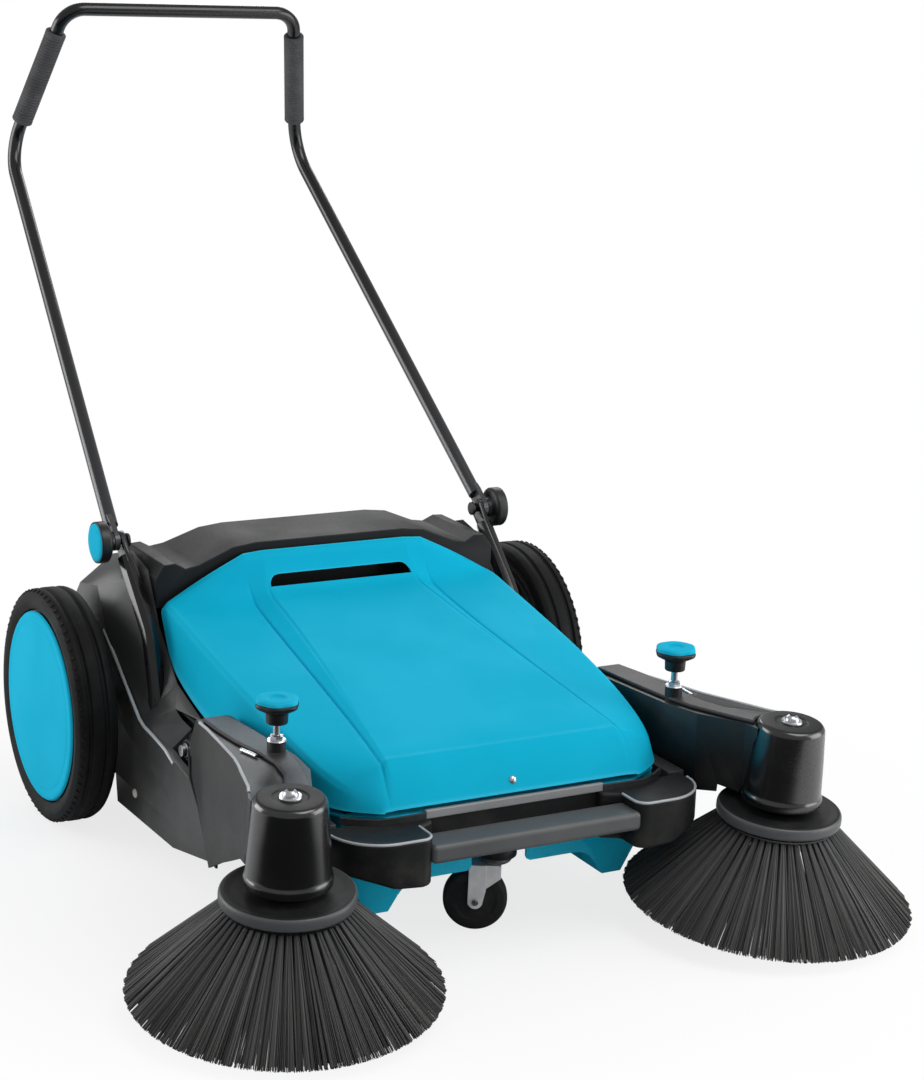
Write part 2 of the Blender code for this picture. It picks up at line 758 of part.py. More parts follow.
def make_bumper():
    """The front bumper: two corner blocks, the carry rail between them and the caster's seat."""
    r = BUMPER_CORNER_R
    front = BUMPER_FRONT_Y
    back = HOOD_FRONT_Y + 0.014 - GAP
    right = [(BUMPER_X, back)] + arc((BUMPER_X - r, front + r), r, 0, -90, 6)
    outline = right + [(-x, y) for x, y in reversed(right)]
    height = BUMPER_TOP_Z - BLOCK_BOTTOM_Z
    body = plate("front_bumper", [outline], "xy", (BUMPER_TOP_Z + BLOCK_BOTTOM_Z) / 2, height)
    notch_back = front + RAIL_DEPTH + 0.012
    boolean(body, block("rail_notch", (-BLOCK_INNER_X, front - 0.01, 0.08),
                        (BLOCK_INNER_X, notch_back, RAIL_BOTTOM_Z)))
    boolean(body, block("rail_top", (-BLOCK_INNER_X, front - 0.01, BUMPER_TOP_Z - 0.010),
                        (BLOCK_INNER_X, front + RAIL_DEPTH + 0.004, BUMPER_TOP_Z + 0.01)))
    slot_x = BUMPER_SLOT_X
    slot = [(-slot_x, back - 0.012), (-slot_x - 0.008, front + RAIL_DEPTH + 0.006)]
    slot = slot + [(-slot_x, front + RAIL_DEPTH), (slot_x, front + RAIL_DEPTH),
                   (slot_x + 0.008, front + RAIL_DEPTH + 0.006), (slot_x, back - 0.012)]
    boolean(body, plate("carry_slot", [slot], "xy", 0.14, 0.2))
    seat_z = 0.0945
    tongue = [(-0.045, -0.500), (0.045, -0.500), (0.045, -0.592), (-0.045, -0.592)]
    boolean(body, plate("caster_seat", [tongue], "xy", seat_z, 0.006), "UNION")
    neck = block("neck", (-0.040, back - 0.011, seat_z), (0.040, back - GAP, 0.120))
    boolean(body, neck, "UNION")
    for s in (-1, 1):
        boolean(body, brush_relief(s))
    keep(bevel(body, 0.002, 1, 45), "black_plastic", smooth=35)
    return seat_z - 0.003


def brush_relief(s):
    """The wedge cut from under a bumper corner, which leaves room for a lifted side brush."""
    middle = Vector((s * (BUMPER_X - BUMPER_CORNER_R), BUMPER_FRONT_Y + BUMPER_CORNER_R, 0.0))
    outward = (Vector((s * SIDE_BRUSH_X, SIDE_BRUSH_Y, 0.0)) - middle).normalized()
    slope = RELIEF_RISE / RELIEF_IN
    past = 0.040
    low = BLOCK_BOTTOM_Z - 0.010
    profile = [(-RELIEF_IN, BLOCK_BOTTOM_Z), (past, BLOCK_BOTTOM_Z + (RELIEF_IN + past) * slope),
               (past, low), (-RELIEF_IN, low)]
    wedge = plate("brush_relief", [profile], "xz", 0.0, 0.200)
    turn = Matrix.Rotation(math.atan2(outward.y, outward.x), 4, "Z")
    place = Matrix.Translation(middle + outward * BUMPER_CORNER_R)
    wedge.matrix_basis = place @ turn @ wedge.matrix_basis
    return wedge


HOOD_STATIONS = [
    # y, panel z, panel x, step x, step z, shoulder x, shoulder z, edge x, edge z
    (-0.100, 0.355, 0.100, 0.126, 0.353, 0.233, 0.2985, 0.2365, 0.290),
    (-0.108, 0.350, 0.101, 0.126, 0.346, 0.234, 0.2985, 0.2375, 0.280),
    (-0.118, 0.328, 0.102, 0.126, 0.318, 0.234, 0.2980, 0.2380, 0.266),
    (-0.132, 0.311, 0.104, 0.125, 0.297, 0.234, 0.2960, 0.2380, 0.240),
    (-0.170, 0.3035, 0.106, 0.127, 0.291, 0.234, 0.2885, 0.2380, 0.216),
    (-0.234, 0.2915, 0.112, 0.130, 0.280, 0.234, 0.2765, 0.2380, 0.193),
    (-0.330, 0.2730, 0.122, 0.137, 0.264, 0.233, 0.2590, 0.2375, 0.186),
    (-0.430, 0.2540, 0.134, 0.144, 0.248, 0.228, 0.2380, 0.2340, 0.182),
    (-0.500, 0.2405, 0.143, 0.150, 0.237, 0.221, 0.2200, 0.2280, 0.180),
    (-0.540, 0.2330, 0.148, 0.154, 0.230, 0.210, 0.2080, 0.2180, 0.179),
    (-0.560, 0.2260, 0.150, 0.156, 0.223, 0.198, 0.2010, 0.2050, 0.1785),
    (-0.574, 0.2060, 0.150, 0.158, 0.204, 0.184, 0.1920, 0.1870, 0.1782),
    (-0.586, 0.1790, 0.150, 0.156, 0.1786, 0.162, 0.1784, 0.1640, 0.1780),
]


def hood_row(station):
    """One row of the lid's skin, from its left edge over the panel to its right edge."""
    y, panel_z, panel_x, step_x, step_z, shoulder_x, shoulder_z, edge_x, edge_z = station
    middle_x = (step_x + shoulder_x) / 2
    middle_z = (step_z + shoulder_z) / 2 + 0.002
    half = [
        (panel_x / 2, panel_z), (panel_x, panel_z), (step_x, step_z), (middle_x, middle_z),
        (shoulder_x - 0.006, shoulder_z + 0.001), (shoulder_x, shoulder_z - 0.005),
        (edge_x, edge_z),
    ]
    left = [(-x, y, z) for x, z in reversed(half)]
    return left + [(0.0, y, panel_z)] + [(x, y, z) for x, z in half]


def make_hood(frame):
    """The blue lid: a thin moulded skin with a raised panel and a hand slot in its rear lip."""

    def build(bm):
        rows = [[bm.verts.new(p) for p in hood_row(s)] for s in HOOD_STATIONS]
        for back, ahead in zip(rows, rows[1:]):
            for i in range(len(back) - 1):
                bm.faces.new((back[i], back[i + 1], ahead[i + 1], ahead[i]))
        bmesh.ops.recalc_face_normals(bm, faces=bm.faces)
        top = max(bm.faces, key=lambda f: f.calc_center_median().z)
        if top.normal.z < 0:
            bmesh.ops.reverse_faces(bm, faces=bm.faces)

    hood = mesh_object("hopper_lid", build)
    wall = hood.modifiers.new("wall", "SOLIDIFY")
    wall.thickness = HOOD_WALL
    wall.offset = -1.0
    wall.use_even_offset = True
    slot = block("hand_slot", (-SLOT_HALF, -0.124, 0.295), (SLOT_HALF, -0.1045, 0.331))
    boolean(hood, slot)
    keep(hood, "blue_plastic", frame, 18)


def make_tub(frame):
    """The blue hopper tub under the lid: two deep lobes with the caster's room between them."""
    half = TUB_X
    floor = TUB_FLOOR_Z
    mid_floor = 0.0985
    outer = both([(half, TUB_RIM_Z), (half - 0.006, 0.100), (0.168, floor), (0.142, floor),
                  (0.120, 0.080), (0.100, mid_floor)])
    w = 0.003
    inner = both([(half - w, 0.300), (half - w - 0.006, 0.101), (0.166, floor + w), (0.144, floor + w),
                  (0.122, 0.083), (0.101, mid_floor + w)])
    length = TUB_BACK_Y - TUB_FRONT_Y
    middle = (TUB_BACK_Y + TUB_FRONT_Y) / 2
    tub = plate("hopper_tub", [outer], "xz", middle, length)
    rim_half = 0.2335
    front = HOOD_FRONT_Y + 0.003
    corner = [(rim_half, -0.300), (rim_half, -0.500), (0.205, front + 0.027), (0.160, front)]
    rim = plate("rim", [both(corner)], "xy", TUB_RIM_Z - 0.0015, 0.003)
    boolean(tub, rim, "UNION")
    cavity = plate("cavity", [inner], "xz", middle, length - 2 * w)
    boolean(tub, cavity)
    mouth_x = half - 0.040
    mouth = plate("mouth", [both([(mouth_x, 0.150), (mouth_x, 0.104)])], "xz", TUB_BACK_Y, 0.02)
    boolean(tub, mouth)
    keep(tub, "blue_plastic", frame, 35)


def brush_matrix(s):
    """The place and lean of a side brush: its own Z is the brush's axis, upwards."""
    up = Vector((s * LEAN_OUT, -LEAN_FORWARD, 1.0)).normalized()
    back = Vector((0.0, 1.0, 0.0))
    back = (back - up * back.dot(up)).normalized()
    turn = Matrix((back.cross(up), back, up)).transposed().to_4x4()
    return Matrix.Translation((s * SIDE_BRUSH_X, SIDE_BRUSH_Y, FLANGE_Z)) @ turn


def brush_empty(name, s, parent):
    """A frame on the brush axis under a parent that is itself placed but not turned."""
    frame = empty(name, (0, 0, 0), parent)
    local = parent_matrix(parent).inverted() @ brush_matrix(s)
    frame.matrix_local = local
    return frame


def parent_matrix(frame):
    place = Matrix.Identity(4)
    while frame is not None:
        place = frame.matrix_basis @ place
        frame = frame.parent
    return place


def hang(obj, frame, material, smooth=None):
    """Files an object made in machine coordinates under a frame, without moving it."""
    moved = [obj] + tools_of(obj)
    places = [each.matrix_basis.copy() for each in moved]
    keep(obj, material, frame, smooth)
    back = parent_matrix(frame).inverted()
    for each, place in zip(moved, places):
        each.matrix_basis = back @ place
    return obj


def cup_profile(grow=0.0):
    """The bell over the brush spindle, from the top down its outer side; grow clears its seat."""
    base = CUP_BASE_R + grow
    top = CUP_TOP_R + grow
    head = CUP_BASE + CUP_HEIGHT + grow
    return [
        (top - 0.009, head), (top - 0.003, head - 0.003), (top, head - 0.010),
        (base - 0.001, CUP_BASE + 0.006), (base + 0.002, CUP_BASE + 0.004),
        (base + 0.002, CUP_BASE - grow),
    ]


def make_cup(side, frame):
    wall = 0.0035
    head = CUP_BASE + CUP_HEIGHT
    outer = cup_profile()
    bore = SPINDLE_R + RUN
    hub = bore + 0.007
    profile = [(bore, head)] + outer + [
        (CUP_BASE_R - wall, CUP_BASE), (CUP_TOP_R - wall, head - 0.012), (hub, head - 0.012),
        (hub, head - 0.030), (bore, head - 0.030),
    ]
    cup = turned("brush_cup_" + side, profile, steps=CUP_SIDES)
    window = block("belt_way", (-0.036, 0.012, 0.052), (0.036, 0.080, 0.080))
    boolean(cup, window)
    keep(cup, "black_plastic", frame)
    return cup


def make_spindle(side, frame):
    """The brush spindle with its belt pulley turned on it."""
    head = CUP_BASE + CUP_HEIGHT - 0.002
    r = SPINDLE_R
    pulley_z = 0.066
    profile = [
        (0.0, head), (r, head), (r, pulley_z + 0.007), (SPINDLE_PULLEY_R, pulley_z + 0.007),
        (SPINDLE_PULLEY_R, pulley_z - 0.007), (r, pulley_z - 0.007), (r, -0.010), (0.0, -0.010),
    ]
    keep(turned("brush_spindle_" + side, profile, steps=16), "steel", frame)


def make_flange(side, frame):
    bore = SPINDLE_R + GAP
    profile = [
        (bore, 0.0125), (0.0605, 0.0105), (0.0625, 0.004), (FLANGE_R - 0.001, 0.0025),
        (FLANGE_R, -0.005), (0.068, -0.010), (bore, -0.010),
    ]
    keep(turned("brush_flange_" + side, profile, steps=24), "black_plastic", frame)


def make_bristles(side, frame):
    """The side brush: two rows of strands that flare from the slice of backing they grow from."""
    columns = 60
    top = -0.010 - GAP
    backing = [(0.030, top), (0.068, top), (0.060, -0.0195), (0.051, -0.028), (0.030, -0.028)]
    reaches = ((TIP_R, -TIP_DROP + 0.004), (TIP_R * 0.90, -TIP_DROP))

    def build(bm):
        rings = []
        for radius, height in backing:
            ring = []
            for i in range(columns):
                turn = 2 * math.pi * i / columns
                ring.append(bm.verts.new((radius * math.cos(turn), radius * math.sin(turn), height)))
            rings.append(ring)
        walls = [wall_between(bm, rings[i], rings[(i + 1) % len(rings)]) for i in range(len(rings))]
        for row, (reach, height) in zip((walls[1], walls[2]), reaches):
            for face in row:
                fan_strand(bm, face, reach, height)
        bmesh.ops.recalc_face_normals(bm, faces=bm.faces)

    keep(mesh_object("side_brush_" + side, build), "black_bristle", frame)


def fan_strand(bm, face, reach, height):
    """Draws one strand from a face of the backing out to a radius and a height."""
    middle = face.calc_center_median()
    outward = Vector((middle.x, middle.y, 0)).normalized()
    grown = bmesh.ops.extrude_discrete_faces(bm, faces=[face])["faces"][0]
    for vert in grown.verts:
        vert.co = middle + (vert.co - middle) * 0.62
    tip = bmesh.ops.extrude_discrete_faces(bm, faces=[grown])["faces"][0]
    goal = outward * reach + Vector((0, 0, height))
    for vert in tip.verts:
        vert.co = goal + (vert.co - middle) * 0.95


ARM_SIDE = [
    (-0.398, 0.066), (-0.322, 0.146), (-0.318, 0.192), (-0.338, 0.226), (-0.500, 0.2345),
    (-0.700, 0.2450), (-0.700, 0.158), (-0.620, 0.152), (-0.556, 0.140), (-0.452, 0.093),
]
ARM_COVER_SIDE = [
    (-0.345, 0.2268), (-0.345, 0.2300), (-0.352, 0.2320), (-0.500, 0.2390), (-0.628, 0.2456),
    (-0.628, 0.2417), (-0.500, 0.2350),
]


def arm_plan(s, inset=0.0):
    """The arm's outline from above: straight beside the chassis, then swept out to the cup."""
    inner = SIDE_X + SHELL_GAP + 0.002 + inset
    outer = SIDE_X + SIDE_THICK + 0.0025 - inset
    cup_x = SIDE_BRUSH_X
    wide = 0.038 - inset
    points = [
        (inner, -0.310), (inner, -0.520), (0.252 + inset, -0.575), (cup_x - wide, -0.635),
        (cup_x - wide, -0.660), (cup_x + wide, -0.660), (cup_x + wide, -0.640),
        (0.334 - inset, -0.590), (0.311 - inset, -0.500), (0.300 - inset, -0.430),
        (outer + 0.001, -0.350), (outer, -0.310),
    ]
    return [(s * x, y) for x, y in points]


def make_arm(side, s, arm_frame):
    """The moulded arm: open below, with a tongue that hangs on the cross shaft."""
    name = "arm_housing_" + side
    body = plate(name, [arm_plan(s)], "xy", 0.15, 0.4)
    shape = plate("arm_side", [ARM_SIDE], "yz", 0.0, 0.9)
    boolean(body, shape, "INTERSECT")
    w = 0.0035
    hollow = plate("hollow", [arm_plan(s, w)], "xy", 0.10, 0.30)
    ceiling = [(y, z - w) for y, z in ARM_SIDE[1:6]] + [(-0.690, -0.1), (-0.332, -0.1)]
    ceiling[0] = (-0.332, 0.140)
    ceiling[1] = (-0.326, 0.190)
    boolean(hollow, plate("ceiling", [ceiling], "yz", 0.0, 0.9), "INTERSECT")
    boolean(body, hollow)
    tongue = [
        (-0.345, 0.200), (-0.345, 0.110), (CROSS_Y, CROSS_Z - 0.020),
    ] + arc((CROSS_Y, CROSS_Z), 0.020, -90, 90, 10)[1:] + [(CROSS_Y - 0.02, CROSS_Z + 0.022)]
    tongue_x = SIDE_X + 0.0165
    boolean(body, plate("tongue", [tongue], "yz", s * tongue_x, 0.008), "UNION")
    boolean(body, rod("pivot", CROSS_R + RUN / 6, 0.05, (s * tongue_x, CROSS_Y, CROSS_Z), "x", 24))
    near, far = sorted((s * (tongue_x + 0.005), s * (SIDE_X + 0.0425)))
    boolean(body, block("belt_way", (near, -0.330, 0.140), (far, -0.315, 0.192)))
    post = rod("post", 0.0105, 0.032, (s * KNOB_X, KNOB_Y, 0.236), "z", 20)
    boolean(body, post, "UNION")
    boolean(body, rod("rod_way", 0.005 + RUN, 0.08, (s * KNOB_X, KNOB_Y, 0.235), "z", 16))
    boolean(body, cup_seat(s))
    hang(body, arm_frame, "black_plastic", 35)
    cover = plate("arm_cover_" + side, [arm_plan(s, 0.006)], "xy", 0.24, 0.1)
    boolean(cover, plate("cover_side", [ARM_COVER_SIDE], "yz", 0.0, 0.9), "INTERSECT")
    boolean(cover, rod("post_way", 0.0105 + RUN, 0.08, (s * KNOB_X, KNOB_Y, 0.245), "z", 20))
    boolean(cover, cup_seat(s))
    hang(cover, arm_frame, "black_plastic", 35)
    make_arm_belt(side, s, arm_frame)


def cup_seat(s):
    """The room that the brush cup and the flange under it take out of the arm."""
    over_flange = CUP_BASE + 0.0005
    room = FLANGE_R + 0.004
    profile = [(0.0, 0.13)] + cup_profile(GAP)[:-1] + [
        (CUP_BASE_R + 0.002 + GAP, over_flange), (room, over_flange), (room, -0.02), (0.0, -0.02),
    ]
    seat = turned("cup_seat", profile, steps=CUP_SIDES)
    seat.matrix_basis = brush_matrix(s)
    return seat


def make_arm_belt(side, s, arm_frame):
    """The round belt: upright on the cross shaft's end, turned a quarter to the brush pulley."""
    back = Vector((s * ARM_PULLEY_X, CROSS_Y, CROSS_Z))
    r_back = ARM_PULLEY_R + ARM_BELT_R + GAP
    front = brush_matrix(s)
    r_front = SPINDLE_PULLEY_R + ARM_BELT_R + GAP
    points = []
    for y, z in arc((0, 0), r_back, 90, -90, 8):
        points.append(back + Vector((0, y, z)))
    for x, y in arc((0, 0), r_front, 0, -180, 12):
        points.append(front @ Vector((s * x, y, 0.066)))
    belt = tube("arm_belt_" + side, points, ARM_BELT_R, cyclic=True, sides=1)
    hang(belt, arm_frame, "black_rubber", 60)


def make_height_knob(side, s, frame):
    """The star knob that sets the arm's height: blue cap, black skirt and a threaded rod."""
    lobes = 6

    def star(radius, depth):
        count = 36
        return [
            (
                (radius - depth * (0.5 - 0.5 * math.cos(lobes * t))) * math.cos(t),
                (radius - depth * (0.5 - 0.5 * math.cos(lobes * t))) * math.sin(t),
            )
            for t in (2 * math.pi * i / count for i in range(count))
        ]

    skirt = plate("height_knob_" + side, [star(0.0245, 0.004)], "xy", 0.0395, 0.009)
    boolean(skirt, rod("hub", 0.0115, 0.018, (0, 0, 0.0285), "z", 20), "UNION")
    low = BRACKET_TOP_Z + GAP - 0.2515
    shank = rod("shank", 0.005, 0.036 - low, (0, 0, (0.036 + low) / 2), "z", 16)
    boolean(skirt, shank, "UNION")
    keep(skirt, "black_plastic", frame, 35)
    cap = plate("height_knob_cap_" + side, [star(0.0238, 0.004)], "xy", 0.0475, 0.0064)
    boolean(cap, turned("dish", [(0.0, 0.06), (0.016, 0.06), (0.013, 0.0490), (0.0, 0.0485)]))
    keep(cap, "blue_plastic", frame, 35)


def make_bracket(side, s):
    """The steel angle on the chassis rail that the threaded rod stands on."""
    inner = SIDE_X + 0.0002
    low = BRACKET_TOP_Z - 0.0025
    foot = [(inner, low), (0.272, low), (0.272, BRACKET_TOP_Z), (inner + 0.0025, BRACKET_TOP_Z),
            (inner + 0.0025, 0.150), (inner, 0.150)]
    outline = [(s * x, z) for x, z in foot]
    made = plate("height_bracket_" + side, [outline], "xz", KNOB_Y, 0.030)
    keep(made, "bright_zinc", smooth=30)


LOWER_TUBE_PATH = [(-0.036, 0.344), (-0.121, 0.263), (-0.150, 0.173)]


def lower_tube_points(s):
    x = s * (HINGE_X - 0.0037)
    return [Vector((x, y, z)) for y, z in LOWER_TUBE_PATH]


def cut_post_socket(body, s):
    """Lets the lower handle tube into the side frame: a groove along it and a socket for its foot."""
    points = lower_tube_points(s)
    for start, end in zip(points, points[1:]):
        heading = (end - start).normalized()
        end = end + heading * GAP
        place = (start + end) / 2
        tool = rod("post_socket", LOWER_TUBE_R + GAP, (end - start).length, place)
        tool.rotation_euler = heading.to_track_quat("Z", "X").to_euler()
        boolean(body, tool)


def hinge_lug(name, x, thick, radius, toward, reach):
    """A flat lug round the hinge bolt that runs a short way along its tube."""
    line = Vector(toward).normalized()
    normal = Vector((-line.y, line.x))
    eye = Vector((HINGE_Y, HINGE_Z))
    heading = math.degrees(math.atan2(normal.y, normal.x))
    curve = arc(eye, radius, heading, heading + 180, 10)
    far = eye + line * reach
    outline = curve + [far - normal * radius * 0.8, far + normal * radius * 0.8]
    hole = circle(eye, 0.005 + RUN / 2, 16)
    return plate(name, [outline, hole], "yz", x, thick)


def make_lower_tube(side, s):
    """The short tube between the side frame and the handle's hinge."""
    path = rounded_path(lower_tube_points(s), (0.050,), 4)
    body = tube("handle_post_" + side, path, LOWER_TUBE_R, sides=2)
    toward = (LOWER_TUBE_PATH[1][0] - HINGE_Y, LOWER_TUBE_PATH[1][1] - HINGE_Z)
    boolean(body, hinge_lug("lug", path[0].x, 0.0065, 0.0125, toward, 0.036), "UNION")
    keep(body, "black_tube", smooth=40)


def bend_reach(before, corner, after, radius):
    """How far from a corner of the tube its bend starts."""
    return radius / math.tan((before - corner).angle(after - corner) / 2)


def make_handle(frame):
    """The upper handle: one bent tube with flattened feet, and its two grips."""
    x = HINGE_X + 0.0037
    hinge = Vector((x, HINGE_Y, HINGE_Z))
    bend = Vector((BEND_X, BEND_Y, BEND_Z))
    top = Vector((TOP_X, BEND_Y - TOP_LEAN, BEND_Z + TOP_RISE))
    heading = (bend - hinge).normalized()
    start = hinge + heading * 0.024
    right = [start, bend, top]
    left = [Vector((-p.x, p.y, p.z)) for p in right]
    radii = (LOWER_BEND_R, TOP_BEND_R, TOP_BEND_R, LOWER_BEND_R)
    path = rounded_path(left + right[::-1], radii, 5)
    body = tube("handle_bar", path, TUBE_R, sides=2)
    for s in (-1, 1):
        lug = hinge_lug("lug" + str(s), s * x, 0.0065, 0.0125, (heading.y, heading.z), 0.034)
        boolean(body, lug, "UNION")
    hang(body, frame, "black_tube", 40)
    for side, s in SIDES:
        run = (top - bend).normalized()
        low = bend + run * (bend_reach(start, bend, top, LOWER_BEND_R) + GRIP_SPARE_LOW)
        high = top - run * (bend_reach(bend, top, left[-1], TOP_BEND_R) + GRIP_SPARE_HIGH)
        middle = (low + high) / 2
        length = (high - low).length
        bore = TUBE_R + GAP
        half = length / 2
        profile = [(bore, half)]
        ribs = 4
        for i in range(ribs + 1):
            z = half - 0.001 - (length - 0.002) * i / ribs
            profile.append((GRIP_R, z))
            if i < ribs:
                profile.append((GRIP_R - 0.001, z - (length - 0.002) / ribs / 2))
        profile.append((bore, -half))
        grip = turned("handle_grip_" + side, profile, steps=16)
        place = Vector((s * middle.x, middle.y, middle.z))
        turn = Vector((s * run.x, run.y, run.z)).to_track_quat("Z", "X").to_matrix().to_4x4()
        grip.matrix_basis = Matrix.Translation(place) @ turn
        hang(grip, frame, "black_rubber")


def make_handle_knob(side, s, frame):
    """The clamp knob at the handle hinge: blue cap, black skirt, and the bolt through both lugs."""
    inner = HINGE_X + 0.0037 + 0.00325 + GAP
    turn = (0.0, s * math.pi / 2, 0.0)
    r = 0.0265
    inside = HINGE_X - 0.0037 - 0.00325 - GAP
    low = inside - inner - 0.004
    skirt = [
        (0.0, 0.016), (r - 0.003, 0.016), (r, 0.014), (r, 0.010), (r - 0.004, 0.007),
        (0.013, 0.006), (0.012, 0.0), (0.005, 0.0), (0.005, low + 0.004), (0.009, low + 0.004),
        (0.009, low), (0.0, low),
    ]
    made = turned("handle_knob_" + side, skirt, (s * inner, 0, 0), turn, 16)
    keep(made, "black_plastic", frame)
    cap = [
        (0.0, 0.0255), (r - 0.006, 0.0245), (r - 0.001, 0.0215), (r - 0.0005, 0.016 + GAP),
        (0.0, 0.016 + GAP),
    ]
    made = turned("handle_knob_cap_" + side, cap, (s * inner, 0, 0), turn, 16)
    keep(made, "blue_plastic", frame)


def make_caster(fork_frame, wheel_frame, seat_z):
    """The front swivel caster: top plate, fork and wheel, its axle riveted into the fork."""
    plate_top = seat_z - GAP
    corner = 0.028
    top = block("caster_plate", (-corner, CASTER_Y - corner, plate_top - 0.003),
                (corner, CASTER_Y + corner, plate_top))
    race = rod("race", 0.018, 0.006, (0, CASTER_Y, plate_top - 0.0052), "z", 24)
    boolean(top, race, "UNION")
    keep(top, "bright_zinc", smooth=35)
    crown_z = plate_top - 0.0085
    half = CASTER_WIDTH / 2 + 0.002
    leg = CASTER_LEG
    outline = [
        (-half - leg, 0), (-half - leg, -0.050), (-half, -0.050), (-half, -leg), (half, -leg),
        (half, -0.050), (half + leg, -0.050), (half + leg, 0),
    ]
    fork = plate("caster_fork", [outline], "xz", 0.0, 0.150)
    axle_drop = CASTER_R - crown_z
    trail = CASTER_TRAIL
    side = [(-0.015, 0.001), (0.020, 0.001), (0.020, -0.012)] + [
        (trail + 0.010 * math.cos(t), axle_drop + 0.010 * math.sin(t))
        for t in (math.radians(a) for a in (20, -30, -70, -110, -150, -190))
    ] + [(-0.015, -0.012)]
    boolean(fork, plate("fork_side", [side], "yz", 0.0, 0.2), "INTERSECT")
    axle_bore = rod("axle_bore", 0.004 + GAP, 0.2, (0, trail, axle_drop), "x", 16)
    boolean(fork, axle_bore)
    keep(fork, "bright_zinc", fork_frame, 35)
    axle = rod("caster_axle", 0.004, 2 * (half + leg) + 0.006, (0, trail, axle_drop), "x", 16)
    keep(axle, "bright_zinc", fork_frame, 35)
    w = CASTER_WIDTH / 2
    r = CASTER_R
    bore = 0.004 + RUN / 6
    right = [(bore, w), (0.010, w), (0.011, w - 0.003), (0.024, w - 0.001), (r - 0.003, w - 0.001)]
    right = right + [(r, w - 0.005)]
    profile = right + [(radius, -x) for radius, x in reversed(right)]
    wheel = turned("caster_wheel", profile, (0, 0, 0), (0, math.pi / 2, 0), 20)
    keep(wheel, "black_rubber", wheel_frame)
    return crown_z


def centre_on_origin():
    """Moves the machine so that the middle of its box lies over the origin."""
    bpy.context.view_layer.update()
    graph = bpy.context.evaluated_depsgraph_get()
    reach = []
    for obj in PARTS.objects:
        if obj.type != "MESH":
            continue
        done = obj.evaluated_get(graph)
        mesh = done.to_mesh()
        reach += [(done.matrix_world @ vert.co).y for vert in mesh.vertices]
        done.to_mesh_clear()
    MACHINE.location.y = -(min(reach) + max(reach)) / 2
    print("axle y", round(MACHINE.location.y, 6))


def main():
    axle_frame = shaft_frame("axle_axis", 0.0, AXLE_Z)
    brush_frame = shaft_frame("main_brush_axis", BRUSH_Y, BRUSH_Z)
    cross_frame = shaft_frame("cross_axis", CROSS_Y, CROSS_Z)
    hopper_frame = empty("hopper_lift", (0, 0, 0), MACHINE)
    for side, frame in wheel_frames().items():
        make_wheel(side, frame)
    make_drive(axle_frame, brush_frame, cross_frame)
    make_main_brush(brush_frame)
    make_housing()
    make_rear_cover()
    make_flaps()
    seat_z = make_bumper()
    make_hood(hopper_frame)
    make_tub(hopper_frame)
    handle_frame = empty("handle_hinge", (0, HINGE_Y, HINGE_Z), MACHINE)
    make_handle(handle_frame)
    for side, s in SIDES:
        make_side_frame(side, s)
        make_bracket(side, s)
        make_lower_tube(side, s)
        arm_frame = empty("arm_pivot_" + side, (0, CROSS_Y, CROSS_Z), MACHINE)
        cup_frame = brush_empty("cup_axis_" + side, s, arm_frame)
        spin_frame = brush_empty("brush_axis_" + side, s, arm_frame)
        make_arm(side, s, arm_frame)
        make_cup(side, cup_frame)
        make_spindle(side, spin_frame)
        make_flange(side, spin_frame)
        make_bristles(side, spin_frame)
        knob_frame = empty("height_knob_axis_" + side, (0, 0, 0), arm_frame)
        knob_frame.location = (s * KNOB_X, KNOB_Y - CROSS_Y, 0.2515 - CROSS_Z)
        make_height_knob(side, s, knob_frame)
        clamp_frame = empty("handle_knob_axis_" + side, (0, 0, 0), handle_frame)
        make_handle_knob(side, s, clamp_frame)
    crown = seat_z - GAP - 0.0085
    swivel = empty("caster_swivel", (0, CASTER_Y, crown), MACHINE, (0, 0, CASTER_TURN))
    roll = empty("caster_roll", (0, CASTER_TRAIL, CASTER_R - crown), swivel)
    make_caster(swivel, roll, seat_z)
    centre_on_origin()


main()
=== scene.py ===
"""Looks of the manual floor sweeper: its visible pieces and finishes, and the stage, lamps and camera.

Lengths are in metres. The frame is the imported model's: X across, Y towards the handle, Z up. The
machine's own measures are taken from the wheel axle, so at() moves each point along Y by AXLE_Y, which
is read from the frame. Tables of points are sections and outlines, in the order in which they run.
"""

import logging
import math
from dataclasses import dataclass, field
from enum import Enum
from functools import partialmethod
from typing import ClassVar, Iterable, Sequence

import bmesh
import bpy
from mathutils import Matrix, Vector


